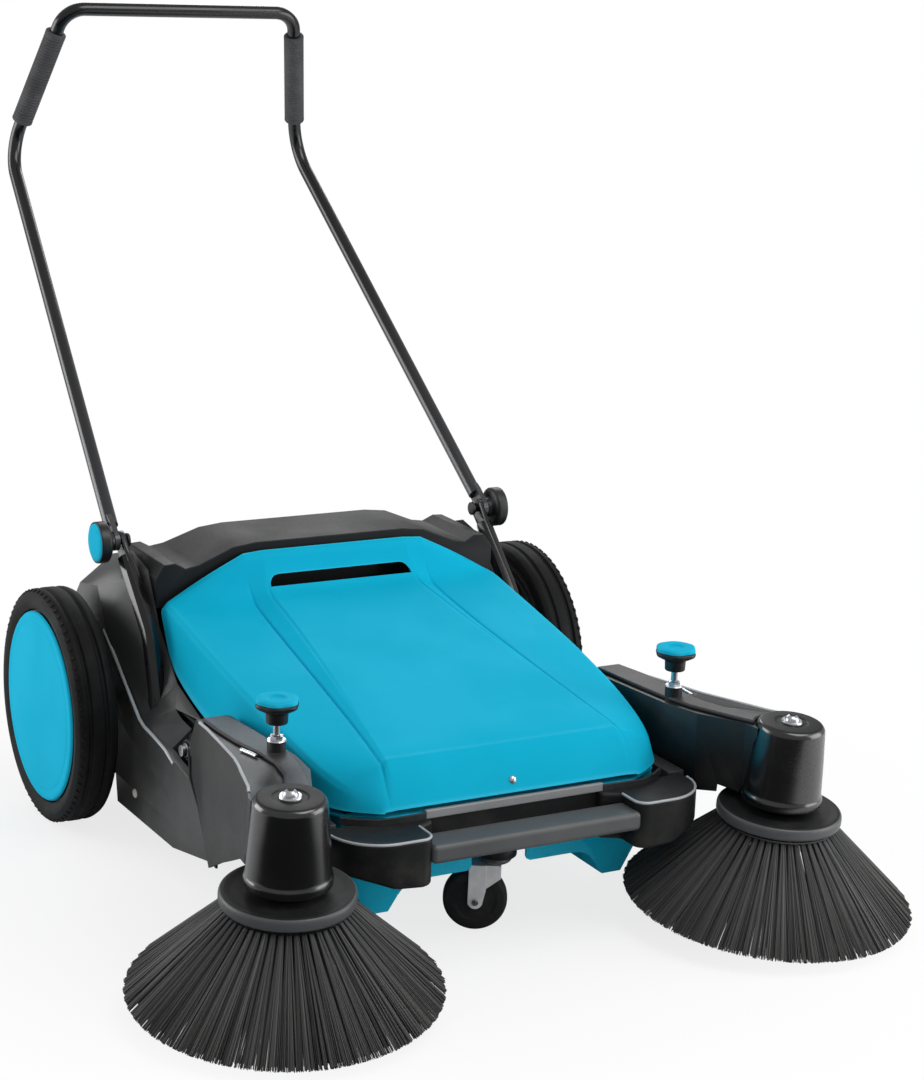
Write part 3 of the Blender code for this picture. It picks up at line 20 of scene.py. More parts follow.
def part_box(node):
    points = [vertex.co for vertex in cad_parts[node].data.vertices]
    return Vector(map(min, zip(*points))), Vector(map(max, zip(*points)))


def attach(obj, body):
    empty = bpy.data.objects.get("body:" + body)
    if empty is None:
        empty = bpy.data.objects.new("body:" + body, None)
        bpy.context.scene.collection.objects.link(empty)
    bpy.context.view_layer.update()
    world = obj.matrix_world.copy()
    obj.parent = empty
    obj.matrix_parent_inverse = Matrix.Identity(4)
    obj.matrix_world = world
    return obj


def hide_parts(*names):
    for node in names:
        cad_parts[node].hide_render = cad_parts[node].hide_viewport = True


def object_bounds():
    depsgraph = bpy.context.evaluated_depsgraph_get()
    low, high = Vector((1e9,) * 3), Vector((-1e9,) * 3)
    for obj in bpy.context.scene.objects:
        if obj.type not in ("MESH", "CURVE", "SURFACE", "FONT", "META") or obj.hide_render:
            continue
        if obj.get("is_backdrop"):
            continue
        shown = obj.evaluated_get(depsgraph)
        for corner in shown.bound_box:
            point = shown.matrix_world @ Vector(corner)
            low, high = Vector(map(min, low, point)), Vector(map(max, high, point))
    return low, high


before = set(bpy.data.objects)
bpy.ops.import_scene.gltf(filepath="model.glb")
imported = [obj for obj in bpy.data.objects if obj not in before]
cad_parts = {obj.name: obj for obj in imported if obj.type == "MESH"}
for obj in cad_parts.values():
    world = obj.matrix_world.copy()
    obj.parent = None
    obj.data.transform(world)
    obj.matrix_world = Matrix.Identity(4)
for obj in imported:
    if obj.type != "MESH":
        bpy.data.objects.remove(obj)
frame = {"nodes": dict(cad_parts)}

LOG = logging.getLogger("sweeper")
CAD_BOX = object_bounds()

AXLE_LOW, AXLE_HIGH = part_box("wheel_axle")
AXLE_Y = (AXLE_LOW.y + AXLE_HIGH.y) / 2
AXLE_Z = (AXLE_LOW.z + AXLE_HIGH.z) / 2

FULL_TURN = 2 * math.pi
X_AXIS = Vector((1.0, 0.0, 0.0))
Z_AXIS = Vector((0.0, 0.0, 1.0))
WELD = 2e-5  # points nearer than this are one point
FLAT = math.radians(1.2)  # faces that bend by less than this are one face
ON_AXIS = 1e-7  # a point with a smaller radius lies on the axis
SWIVEL_Y = -0.548  # where the caster turns
KNOB_XY = (0.262, -0.508)  # the right height knob

Colour = tuple[float, float, float]
Point = tuple[float, float, float]
Outline = list[tuple[float, float]]
Shape = bmesh.types.BMesh


class Side(Enum):
    """One side of the machine, as seen from its front."""

    LEFT = -1
    RIGHT = 1

    @property
    def word(self) -> str:
        """The side's name in the node and body names."""
        return self.name.lower()

    @property
    def sign(self) -> int:
        """The sign of X on this side."""
        return self.value


class Lay(Enum):
    """How the strands of a brush are laid out."""

    RING = 0
    SPIRAL = 1


def at(x: float, y: float, z: float) -> Vector:
    """A point of the machine, its Y measured from the wheel axle."""
    return Vector((x, y + AXLE_Y, z))


def linear(red: int, green: int, blue: int) -> Colour:
    """A screen colour from 0 to 255 as the linear colour that a shader takes."""

    def channel(value: int) -> float:
        """One of its three parts."""
        share = value / 255
        return share / 12.92 if share <= 0.04045 else ((share + 0.055) / 1.055) ** 2.4

    return (channel(red), channel(green), channel(blue))


WHITE = (1.0, 1.0, 1.0)
DUST = (132, 126, 116)
WORN_COAT = (96, 98, 102)
# screen colour of the painted highlight near the roots of brush strands
LIT_ROOTS = (128, 130, 128)


class Signal:
    """A node's output, which takes part in Python arithmetic by adding Math nodes."""

    def __init__(self, graph: "Graph", socket: bpy.types.NodeSocket) -> None:
        """Keeps the graph that the socket belongs to."""
        self.graph = graph
        self.socket = socket

    def out(self, name: str | int) -> "Signal":
        """Another output of the same node."""
        return Signal(self.graph, self.socket.node.outputs[name])

    def _math(self, operation: str, *values: object, clamp: bool = False) -> "Signal":
        """A Math node with these values."""
        settings = {"operation": operation, "use_clamp": clamp}
        return self.graph.node("ShaderNodeMath", settings, dict(enumerate(values)))

    def _with(self, operation: str, other: object) -> "Signal":
        """Self and another value, in this order."""
        return self._math(operation, self, other)

    def _after(self, operation: str, other: object) -> "Signal":
        """Another value and self, in this order."""
        return self._math(operation, other, self)

    __add__ = partialmethod(_with, "ADD")
    __radd__ = partialmethod(_after, "ADD")
    __sub__ = partialmethod(_with, "SUBTRACT")
    __rsub__ = partialmethod(_after, "SUBTRACT")
    __mul__ = partialmethod(_with, "MULTIPLY")
    __rmul__ = partialmethod(_after, "MULTIPLY")
    __truediv__ = partialmethod(_with, "DIVIDE")
    __pow__ = partialmethod(_with, "POWER")
    __mod__ = partialmethod(_with, "FLOORED_MODULO")
    __lt__ = partialmethod(_with, "LESS_THAN")
    __gt__ = partialmethod(_with, "GREATER_THAN")

    def floor(self) -> "Signal":
        """The whole number at or below self."""
        return self._math("FLOOR", self)

    def sin(self) -> "Signal":
        """The sine of self, in radians."""
        return self._math("SINE", self)

    def cos(self) -> "Signal":
        """The cosine of self, in radians."""
        return self._math("COSINE", self)

    def clamped(self) -> "Signal":
        """Self kept between 0 and 1."""
        return self._math("ADD", self, 0.0, clamp=True)

    def step(self, low: float, high: float) -> "Signal":
        """0 below low and 1 above high, with a soft step between them.

        Args:
            low: the value at which the step starts.
            high: the value at which it ends; below low, the step runs the other way.

        Returns:
            The soft step.
        """
        settings = {"interpolation_type": "SMOOTHSTEP"}
        inputs = {"Value": self, "From Min": low, "From Max": high}
        return self.graph.node("ShaderNodeMapRange", settings, inputs)


class Graph:
    """Adds nodes to one node tree, for shaders and for geometry alike."""

    def __init__(self, tree: bpy.types.NodeTree) -> None:
        """Keeps the tree."""
        self.tree = tree

    def node(
        self, kind: str, settings: dict | None = None, inputs: dict | None = None, output: int | str = 0
    ) -> Signal:
        """Adds one node.

        Args:
            kind: the node's type.
            settings: its properties, set before its sockets.
            inputs: values, signals or lists of signals, by socket name or number.
            output: the output to return.

        Returns:
            The output as a signal.
        """
        made = self.tree.nodes.new(kind)
        for name, value in (settings or {}).items():
            setattr(made, name, value)
        for key, value in (inputs or {}).items():
            self.feed(made.inputs[key], value)
        return Signal(self, made.outputs[output]) if made.outputs else Signal(self, made.inputs[0])

    def feed(self, socket: bpy.types.NodeSocket, value: object) -> None:
        """Links or sets one input.

        Args:
            socket: the input.
            value: a signal, a list of signals, or a plain value. A colour of whole numbers is a screen
                colour, and one of other numbers is linear.
        """
        if isinstance(value, Signal):
            self.tree.links.new(value.socket, socket)
        elif isinstance(value, list):
            for each in value:
                self.tree.links.new(each.socket, socket)
        elif isinstance(value, tuple) and socket.type == "RGBA" and len(value) == 3:
            plain = linear(*value) if isinstance(value[0], int) else value
            socket.default_value = (*plain, 1.0)
        else:
            socket.default_value = value

    def vector(self, x: object = 0.0, y: object = 0.0, z: object = 0.0) -> Signal:
        """A vector from three numbers or signals."""
        return self.node("ShaderNodeCombineXYZ", None, {0: x, 1: y, 2: z})

    def split(self, value: Signal) -> tuple[Signal, Signal, Signal]:
        """The three parts of a vector."""
        first = self.node("ShaderNodeSeparateXYZ", None, {0: value})
        return first, first.out(1), first.out(2)


class Surface(Graph):
    """A material's graph, with the few patterns that this machine's finishes share."""

    def __init__(self, name: str) -> None:
        """Starts an empty material of this name, with a Principled BSDF."""
        self.material = bpy.data.materials.new(name)
        self.material.use_nodes = True
        super().__init__(self.material.node_tree)
        self.tree.nodes.clear()
        self.place = self.node("ShaderNodeTexCoord").out("Object")
        self.body = self.node("ShaderNodeBsdfPrincipled")
        self.node("ShaderNodeOutputMaterial", None, {"Surface": self.body})

    def noise(self, size: float, detail: float = 3.0, roughness: float = 0.5) -> Signal:
        """A soft random pattern.

        Args:
            size: the width of one patch, in metres.
            detail: how many finer layers are added.
            roughness: how strong those layers are.

        Returns:
            A value of about 0.3 to 0.7.
        """
        inputs = {"Vector": self.place, "Scale": 1 / size, "Detail": detail, "Roughness": roughness}
        return self.node("ShaderNodeTexNoise", None, inputs)

    def grain(self, size: float) -> Signal:
        """The pebbled texture of a moulding tool, one pebble of this size."""
        inputs = {"Vector": self.place, "Scale": 1 / size, "Randomness": 1.0}
        return self.node("ShaderNodeTexVoronoi", {"feature": "SMOOTH_F1"}, inputs)

    def mix(self, share: object, first: object, second: object) -> Signal:
        """One colour where share is 0 and the other where it is 1."""
        settings = {"data_type": "RGBA", "clamp_factor": True}
        return self.node("ShaderNodeMix", settings, {0: share, 6: first, 7: second}, 2)

    def worn_edges(self, low: float, high: float) -> Signal:
        """1 on the outward edges of a shape, from how sharply the surface bends."""
        bend = self.node("ShaderNodeNewGeometry").out("Pointiness")
        return bend.step(low, high)

    def bump(self, height: Signal, depth: float, before: Signal | None = None) -> Signal:
        """A normal from a height.

        Args:
            height: the height, from 0 to 1.
            depth: the depth in metres at height 1.
            before: the normal that it is added to.

        Returns:
            The new normal.
        """
        inputs = {"Strength": 1.0, "Distance": depth, "Height": height}
        if before is not None:
            inputs["Normal"] = before
        return self.node("ShaderNodeBump", None, inputs)

    def finish(self, **inputs: object) -> bpy.types.Material:
        """Feeds the Principled BSDF.

        Args:
            inputs: its sockets by name, with _ for a space.

        Returns:
            The material.
        """
        sockets = self.body.socket.node.inputs
        for name, value in inputs.items():
            self.feed(sockets[name.replace("_", " ")], value)
        return self.material


@dataclass(frozen=True)
class Moulding:
    """Moulded plastic: pebbled by its tool, a little uneven in gloss, dulled near the ground."""

    name: str
    colour: Colour
    deep: Colour
    pale: Colour
    rough: float
    pebble: float = 0.0011
    depth: float = 0.00006
    dust: float = 0.12
    specular: float = 0.5
    coat: float = 0.0
    edge: tuple[float, float] = (0.52, 0.62)

    def material(self) -> bpy.types.Material:
        """Builds the finish."""
        skin = Surface(self.name)
        cloud = skin.noise(0.12, 4.0).step(0.35, 0.65)
        speck = skin.noise(0.004, 2.0)
        colour = skin.mix(cloud * 0.5, self.colour, self.deep)
        # paler on outward edges: wear on every moulding, and on the blue, whose edge range is narrow, a
        # painted highlight along the lid's folds
        colour = skin.mix(skin.worn_edges(*self.edge) * (0.25 + speck * 0.5), colour, self.pale)
        height = skin.split(skin.place)[2]
        settled = height.step(0.30, 0.02) * skin.noise(0.05, 5.0, 0.6).step(0.42, 0.7) * self.dust
        colour = skin.mix(settled, colour, DUST)
        rough = self.rough + (cloud - 0.5) * 0.08 + (speck - 0.5) * 0.12 + settled
        waves = skin.bump(skin.noise(0.03, 1.0), 0.0002)
        pebbles = skin.bump(skin.grain(self.pebble), self.depth, waves)
        shine = {"Specular_IOR_Level": self.specular, "Coat_Weight": self.coat, "Coat_Roughness": 0.2}
        return skin.finish(Base_Color=colour, Roughness=rough, Normal=pebbles, **shine)


@dataclass(frozen=True)
class Rubber:
    """Rubber: dull and dark, greyed by bloom and by dust in its hollows."""

    name: str
    colour: Colour
    bloom: Colour
    rough: float
    depth: float = 0.00012
    specular: float = 0.4

    def material(self) -> bpy.types.Material:
        """Builds the finish."""
        skin = Surface(self.name)
        cloud = skin.noise(0.05, 5.0, 0.6).step(0.38, 0.68)
        speck = skin.noise(0.0016, 3.0, 0.7)
        colour = skin.mix(cloud * 0.35, self.colour, self.bloom)
        hollow = skin.worn_edges(0.49, 0.42)
        colour = skin.mix(hollow * 0.3, colour, self.bloom)
        rough = self.rough + (speck - 0.5) * 0.2 - cloud * 0.06
        normal = skin.bump(speck, self.depth)
        return skin.finish(
            Base_Color=colour, Roughness=rough, Normal=normal, Specular_IOR_Level=self.specular
        )


@dataclass(frozen=True)
class Enamel:
    """Glossy powder coat on steel tube: orange peel, fine scratches, a few dull patches."""

    name: str
    colour: Colour
    rough: float
    peel: float = 0.0022

    def material(self) -> bpy.types.Material:
        """Builds the finish."""
        skin = Surface(self.name)
        cloud = skin.noise(0.07, 4.0).step(0.4, 0.7)
        colour = skin.mix(skin.worn_edges(0.53, 0.62) * 0.5, self.colour, WORN_COAT)
        rough = self.rough + cloud * 0.1 + (skin.noise(0.002, 2.0) - 0.5) * 0.06
        normal = skin.bump(skin.noise(self.peel, 1.0), 0.00005)
        return skin.finish(
            Base_Color=colour, Roughness=rough, Normal=normal, Coat_Weight=0.25, Coat_Roughness=0.15
        )


@dataclass(frozen=True)
class BareMetal:
    """Zinc plate or plain steel: metallic, cloudy, with the fine lines of its making."""

    name: str
    colour: Colour
    shade: Colour
    rough: float
    line: float = 0.0008
    metallic: float = 1.0

    def material(self) -> bpy.types.Material:
        """Builds the finish."""
        skin = Surface(self.name)
        cloud = skin.noise(0.018, 4.0, 0.6).step(0.35, 0.7)
        stretched = skin.node(
            "ShaderNodeMapping", {"vector_type": "POINT"}, {"Vector": skin.place, "Scale": (1.0, 1.0, 0.08)}
        )
        inputs = {"Vector": stretched, "Scale": 1 / self.line, "Detail": 2.0}
        lines = skin.node("ShaderNodeTexNoise", None, inputs)
        colour = skin.mix(cloud * 0.6, self.colour, self.shade)
        rough = self.rough + cloud * 0.12 + (lines - 0.5) * 0.15
        normal = skin.bump(lines, 0.00002)
        return skin.finish(Base_Color=colour, Roughness=rough, Normal=normal, Metallic=self.metallic)


@dataclass(frozen=True)
class Strand:
    """Nylon strands: own shade, painted shade at tuft edges, painted root highlight, tips paler and duller
    by wear.
    """

    name: str
    dark: Colour
    light: Colour
    tip: Colour

    def material(self) -> bpy.types.Material:
        """Builds the finish from the shade and reach that each strand stores."""
        skin = Surface(self.name)
        shade = skin.node("ShaderNodeAttribute", {"attribute_name": "strand_shade"}).out("Fac")
        reach = skin.node("ShaderNodeAttribute", {"attribute_name": "strand_reach"}).out("Fac")
        colour = skin.mix(shade, self.dark, self.light)
        colour = skin.mix(reach.step(0.5, 1.1) * (shade * 0.6), colour, self.tip)
        # painted highlight near the roots of the paler strands, where lamp light would catch their bend
        root_highlight = reach.step(0.30, 0.06) * shade.step(0.55, 0.85)
        colour = skin.mix(root_highlight * 0.45, colour, LIT_ROOTS)
        rough = 0.40 + shade * 0.1 + reach * 0.08
        crimp = skin.bump(skin.noise(0.003, 1.0), 0.00008)
        return skin.finish(Base_Color=colour, Roughness=rough, Normal=crimp, Specular_IOR_Level=0.55)


@dataclass(frozen=True)
class Finishes:
    """Every finish on the machine; SLOTS says which slot of the record each one stands for."""

    black: Moulding = Moulding("satin_black_plastic", (27, 28, 29), (18, 19, 20), (100, 103, 106), 0.40)
    gloss_black: Moulding = Moulding(
        "gloss_black_plastic", (14, 15, 16), (10, 11, 12), (76, 80, 84), 0.24,
        depth=0.00002, dust=0.04, specular=0.9, coat=0.40,
    )
    # the blue's narrow edge range turns its pale colour into a painted highlight along every outward fold
    # of the lid
    blue: Moulding = Moulding(
        "blue_plastic", (18, 181, 217), (14, 173, 208), (62, 200, 234), 0.55,
        depth=0.00003, dust=0.03, specular=0.02, edge=(0.504, 0.550),
    )
    # light grey that stands for a painted highlight along rolled edges of the black plastic
    polished: Moulding = Moulding(
        "polished_black_edge", (186, 190, 194), (158, 162, 166), (205, 208, 212), 0.32
    )
    # black plastic made lighter grey: a painted sheen on the tops of the arms
    satin_top: Moulding = Moulding(
        "satin_grey_top", (55, 54, 57), (43, 43, 45), (110, 110, 114), 0.40, specular=0.3
    )
    matt_black: Moulding = Moulding(
        "matt_black_plastic", (25, 26, 27), (18, 19, 20), (92, 95, 98), 0.52, specular=0.30
    )
    # black plastic made mid grey: a painted sheen on the carrying bar and a painted highlight on the brush
    # plates' rims
    bar: Moulding = Moulding("satin_bar", (82, 84, 86), (68, 70, 72), (128, 130, 132), 0.38)
    # black plastic made lighter for the side frames: painted light on their outer faces
    frame: Moulding = Moulding("satin_frame", (58, 59, 60), (44, 45, 46), (112, 114, 117), 0.36)
    lip: Moulding = Moulding("light_grey_lip", (150, 151, 153), (126, 127, 130), (176, 178, 180), 0.34)
    soft_rubber: Rubber = Rubber("soft_rubber", (30, 30, 31), (74, 72, 70), 0.66)
    tyre: Rubber = Rubber("tyre_rubber", (12, 12, 13), (36, 35, 34), 0.66, 0.00018, 0.2)
    grip: Rubber = Rubber("grip_foam", (66, 66, 68), (100, 100, 102), 0.8, 0.0003)
    enamel: Enamel = Enamel("black_enamel", (15, 15, 17), 0.2)
    zinc: BareMetal = BareMetal("bright_zinc", (214, 216, 220), (176, 180, 186), 0.24)
    plate: BareMetal = BareMetal("zinc_plate", (242, 243, 244), (212, 214, 218), 0.44, metallic=0.12)
    steel: BareMetal = BareMetal("plain_steel", (168, 168, 170), (120, 120, 124), 0.34)
    bristle: Strand = Strand("black_bristle", (7, 7, 8), (74, 74, 75), (84, 83, 81))
    nylon: Moulding = Moulding("white_nylon", (222, 222, 216), (206, 206, 198), (238, 238, 234), 0.4)


SLOTS = {
    "black_plastic": ("black", "gloss_black", "polished", "satin_top", "frame", "matt_black", "bar", "lip"),
    "blue_plastic": ("blue",),
    "black_rubber": ("soft_rubber", "grip"),
    "tyre_rubber": ("tyre",),
    "black_tube": ("enamel",),
    "bright_zinc": ("zinc", "plate"),
    "steel": ("steel",),
    "black_bristle": ("bristle",),
    "white_nylon": ("nylon",),
}
SLOT_OF = {finish: slot for slot, finishes in SLOTS.items() for finish in finishes}


class Palette:
    """Makes each finish's material once and hands it out by name."""

    def __init__(self, finishes: Finishes) -> None:
        """Builds all the materials."""
        self.made = {name: getattr(finishes, name).material() for name in SLOT_OF}

    def __getitem__(self, name: str) -> bpy.types.Material:
        """The material of one finish."""
        return self.made[name]


def linked(name: str, data: bpy.types.ID) -> bpy.types.Object:
    """A new object in the scene, with this mesh, lamp or camera."""
    made = bpy.data.objects.new(name, data)
    bpy.context.scene.collection.objects.link(made)
    return made


def to_mesh(name: str, shape: Shape) -> bpy.types.Mesh:
    """A shape as a plain mesh; the shape is used up."""
    mesh = bpy.data.meshes.new(name)
    shape.to_mesh(mesh)
    shape.free()
    return mesh


def merged_copy(*nodes: str) -> Shape:
    """CAD nodes as one mesh to work on, their loose triangles joined and their flat faces made whole.

    Args:
        nodes: the CAD nodes.

    Returns:
        The mesh.
    """
    shape = bmesh.new()
    for node in nodes:
        shape.from_mesh(frame["nodes"][node].data)
    for layer in list(shape.loops.layers.uv):
        shape.loops.layers.uv.remove(layer)
    bmesh.ops.remove_doubles(shape, verts=shape.verts, dist=WELD)
    bmesh.ops.dissolve_degenerate(shape, edges=shape.edges, dist=WELD)
    bmesh.ops.dissolve_limit(
        shape, angle_limit=FLAT, use_dissolve_boundaries=False, verts=shape.verts, edges=shape.edges
    )
    return shape


@dataclass
class Piece:
    """One finished piece of the machine: its mesh, what it rides on, what it stands for, its finishes."""

    name: str
    body: str
    finishes: Sequence[str]
    nodes: Sequence[str] = ()
    rounding: float = 0.0
    segments: int = 2
    crease: float = 30.0
    palette: ClassVar[Palette]

    def from_bmesh(self, shape: Shape) -> bpy.types.Object:
        """Makes the object from a mesh in the machine's frame.

        Args:
            shape: the mesh, which is used up.

        Returns:
            The object, riding on its body.
        """
        return self.from_mesh(to_mesh(self.name, shape))

    def from_mesh(self, mesh: bpy.types.Mesh) -> bpy.types.Object:
        """Makes the object from a finished mesh.

        Args:
            mesh: the mesh, in the machine's frame.

        Returns:
            The object, riding on its body.
        """
        piece = linked(self.name, mesh)
        if mesh.materials:
            mesh.materials.clear()
        for finish in self.finishes:
            mesh.materials.append(self.palette[finish])
        mesh.shade_smooth()
        if self.rounding:
            self._round_edges(piece)
        elif self.crease < 180:
            mesh.set_sharp_from_angle(angle=math.radians(self.crease))
        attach(piece, self.body)
        if self.nodes:
            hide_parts(*self.nodes)
        LOG.info("%s: %d faces on %s", self.name, len(mesh.polygons), self.body)
        return piece

    def from_cad(self) -> bpy.types.Object:
        """Makes the object from the CAD nodes that it replaces, with finer edges."""
        return self.from_bmesh(merged_copy(*self.nodes))

    def _round_edges(self, piece: bpy.types.Object) -> None:
        """Rounds the sharp edges with a live bevel, as a moulding has them."""
        bevel = piece.modifiers.new("rounded_edges", "BEVEL")
        bevel.width = self.rounding
        bevel.segments = self.segments
        bevel.limit_method = "ANGLE"
        bevel.angle_limit = math.radians(self.crease)
        bevel.use_clamp_overlap = True
        bevel.harden_normals = True
        bevel.miter_outer = "MITER_ARC"


def axis_frame(origin: Vector, axis: Vector, across: Vector) -> Matrix:
    """A place whose Z runs along an axis.

    Args:
        origin: where it is.
        axis: its Z.
        across: a direction near its X.

    Returns:
        The matrix from that place to the machine's frame.
    """
    up = axis.normalized()
    side = (across - up * across.dot(up)).normalized()
    turn = Matrix((side, up.cross(side), up)).transposed().to_4x4()
    return Matrix.Translation(origin) @ turn


def spun(profile: Outline, steps: int, place: Matrix) -> Shape:
    """A closed turned shape.

    Args:
        profile: (radius, height) points round the section, in order; radius 0 lies on the axis.
        steps: how many faces go round.
        place: from the axis's own frame to the machine's.

    Returns:
        The mesh.
    """
    made = bmesh.new()
    rings = []
    for radius, height in profile:
        count = steps if radius > ON_AXIS else 1
        turns = [FULL_TURN * i / steps for i in range(count)]
        points = [Vector((radius * math.cos(t), radius * math.sin(t), height)) for t in turns]
        rings.append([made.verts.new(place @ point) for point in points])
    closed = profile[0][0] > ON_AXIS or profile[-1][0] > ON_AXIS
    following = rings[1:] + ([rings[0]] if closed else [])
    for ring, after in zip(rings, following):
        for i in range(steps):
            corners = [ring[i % len(ring)], ring[(i + 1) % len(ring)]]
            corners += [after[(i + 1) % len(after)], after[i % len(after)]]
            corners = [vert for k, vert in enumerate(corners) if vert not in corners[:k]]
            if len(corners) > 2:
                made.faces.new(corners)
    bmesh.ops.recalc_face_normals(made, faces=made.faces)
    return made


def walled(shape: Shape, first: Sequence[Vector], second: Sequence[Vector]) -> Shape:
    """Adds the closed shape between two outlines.

    Args:
        shape: the mesh that it is added to.
        first: the corners of one end.
        second: as many corners of the other end, in the same order.

    Returns:
        The same mesh.
    """
    ends = [[shape.verts.new(point) for point in outline] for outline in (first, second)]
    faces = [shape.faces.new(end) for end in ends]
    for i in range(len(first)):
        j = (i + 1) % len(first)
        faces.append(shape.faces.new((ends[0][i], ends[0][j], ends[1][j], ends[1][i])))
    bmesh.ops.recalc_face_normals(shape, faces=faces)
    return shape


def arc(middle: tuple[float, float], radius: float, start: float, sweep: float, steps: int) -> Outline:
    """Points along an arc, its angles in degrees, both ends among them."""
    turns = [math.radians(start + sweep * i / steps) for i in range(steps + 1)]
    return [(middle[0] + radius * math.cos(t), middle[1] + radius * math.sin(t)) for t in turns]


def softened(profile: Outline, radius: float, steps: int = 3) -> Outline:
    """A section with its corners rounded; points on the axis keep their place.

    Args:
        profile: (radius, height) points of a closed section.
        radius: the rounding, which is less where two corners are near.
        steps: how many faces make a corner.

    Returns:
        The rounded section.
    """
    result = []
    count = len(profile)
    for i, point in enumerate(profile):
        here = Vector(point)
        if point[0] <= ON_AXIS:
            result.append(point)
            continue
        before, after = Vector(profile[i - 1]), Vector(profile[(i + 1) % count])
        back, ahead = before - here, after - here
        reach = min(radius, back.length * 0.45, ahead.length * 0.45)
        if reach < 1e-5 or abs(back.angle(ahead) - math.pi) < 0.1:
            result.append(point)
            continue
        start, end = here + back.normalized() * reach, here + ahead.normalized() * reach
        for k in range(steps + 1):
            share = k / steps
            spot = start.lerp(here, share).lerp(here.lerp(end, share), share)
            result.append((spot.x, spot.y))
    return result


def dull_top(shape: Shape, up: Vector, reach: float) -> None:
    """Gives the second finish to the faces that look up the axis.

    Args:
        shape: the mesh, in the machine's frame.
        up: the axis.
        reach: how nearly a face has to look along it, as a cosine.
    """
    shape.normal_update()
    for face in shape.faces:
        if face.normal.dot(up) > reach:
            face.material_index = 1


def swept(points: Sequence[Vector], radius: float, sides: int = 24) -> Shape:
    """A round bar along a path, with closed ends.

    Args:
        points: the path.
        radius: the bar's radius.
        sides: how many faces go round.

    Returns:
        The mesh.
    """
    made = bmesh.new()
    heading = (points[1] - points[0]).normalized()
    side = heading.orthogonal().normalized()
    turns = [FULL_TURN * k / sides for k in range(sides)]
    rings = []
    for i, point in enumerate(points):
        before, after = points[max(i - 1, 0)], points[min(i + 1, len(points) - 1)]
        fresh = (after - before).normalized()
        side = (heading.rotation_difference(fresh) @ side).normalized()
        heading = fresh
        other = heading.cross(side)
        spokes = [side * math.cos(t) + other * math.sin(t) for t in turns]
        rings.append([made.verts.new(point + spoke * radius) for spoke in spokes])
    for ring, after in zip(rings, rings[1:]):
        for k in range(sides):
            made.faces.new((ring[k], ring[(k + 1) % sides], after[(k + 1) % sides], after[k]))
    made.faces.new(rings[0])
    made.faces.new(rings[-1])
    bmesh.ops.recalc_face_normals(made, faces=made.faces)
    return made


class Builder(Graph):
    """A Geometry Nodes tree that ends in Realize Instances and Set Material."""

    def __init__(self, name: str) -> None:
        """Starts a tree with a geometry input and output."""
        super().__init__(bpy.data.node_groups.new(name, "GeometryNodeTree"))
        for way in ("INPUT", "OUTPUT"):
            self.tree.interface.new_socket("Geometry", in_out=way, socket_type="NodeSocketGeometry")
        self.start = self.tree.nodes.new("NodeGroupInput")
        self.end = self.tree.nodes.new("NodeGroupOutput")
        self.values: dict[str, float] = {}

    def size(self, name: str, value: float, kind: str = "NodeSocketFloat") -> Signal:
        """A named input of the tree.

        Args:
            name: the input's name.
            value: what the modifier sets it to.
            kind: the socket's type.

        Returns:
            The input as a signal.
        """
        made = self.tree.interface.new_socket(name, in_out="INPUT", socket_type=kind)
        self.values[made.identifier] = value
        return Signal(self, next(s for s in self.start.outputs if s.identifier == made.identifier))

    def given(self) -> Signal:
        """The mesh that the tree starts from."""
        return Signal(self, self.start.outputs["Geometry"])

    def chance(self, low: float, high: float, seed: Signal, salt: int) -> Signal:
        """A random number for each element, the same in every run.

        Args:
            low: the lowest value.
            high: the highest value.
            seed: the tree's seed input.
            salt: keeps one draw apart from another.

        Returns:
            The number.
        """
        made = self.node("FunctionNodeRandomValue", {"data_type": "FLOAT"}, {2: low, 3: high}, 1)
        self.feed(made.socket.node.inputs["Seed"], seed + salt)
        return made

    def index(self) -> Signal:
        """The number of each element."""
        return self.node("GeometryNodeInputIndex")

    def polar(self, turn: Signal, radius: object, height: object) -> Signal:
        """A point at this angle and radius round the Z axis."""
        return self.vector(turn.cos() * radius, turn.sin() * radius, height)

    def moved(self, geometry: Signal, position: Signal) -> Signal:
        """Geometry with its points at a new position."""
        return self.node("GeometryNodeSetPosition", None, {"Geometry": geometry, "Position": position})

    def store(self, geometry: Signal, name: str, value: Signal, domain: str = "POINT") -> Signal:
        """Geometry with a named number stored on it."""
        settings = {"data_type": "FLOAT", "domain": domain}
        inputs = {"Geometry": geometry, "Name": name, "Value": value}
        return self.node("GeometryNodeStoreNamedAttribute", settings, inputs)

    def finish(self, geometry: Signal, material: bpy.types.Material) -> None:
        """Realizes the instances, sets the material and feeds the output."""
        real = self.node("GeometryNodeRealizeInstances", None, {"Geometry": geometry})
        dressed = self.node("GeometryNodeSetMaterial", None, {"Geometry": real, "Material": material})
        self.feed(self.end.inputs["Geometry"], dressed)

    def run(self, base: bpy.types.Mesh) -> bpy.types.Mesh:
        """Runs the tree on a mesh.

        Args:
            base: the mesh that the tree is given.

        Returns:
            What the tree made, as a plain mesh.
        """
        carrier = linked(self.tree.name, base)
        modifier = carrier.modifiers.new("nodes", "NODES")
        modifier.node_group = self.tree
        for identifier, value in self.values.items():
            modifier[identifier] = value
        bpy.context.view_layer.update()
        evaluated = carrier.evaluated_get(bpy.context.evaluated_depsgraph_get())
        mesh = bpy.data.meshes.new_from_object(evaluated)
        carrier.modifiers.clear()
        bpy.data.objects.remove(carrier)
        return mesh


def point_mesh(name: str, places: Iterable[Vector]) -> bpy.types.Mesh:
    """Loose points, one for each copy that a tree makes."""
    mesh = bpy.data.meshes.new(name)
    mesh.from_pydata([tuple(place) for place in places], [], [])
    return mesh


def placed(mesh: bpy.types.Mesh, place: Matrix) -> bpy.types.Mesh:
    """The mesh moved to its place."""
    mesh.transform(place)
    mesh.update()
    return mesh


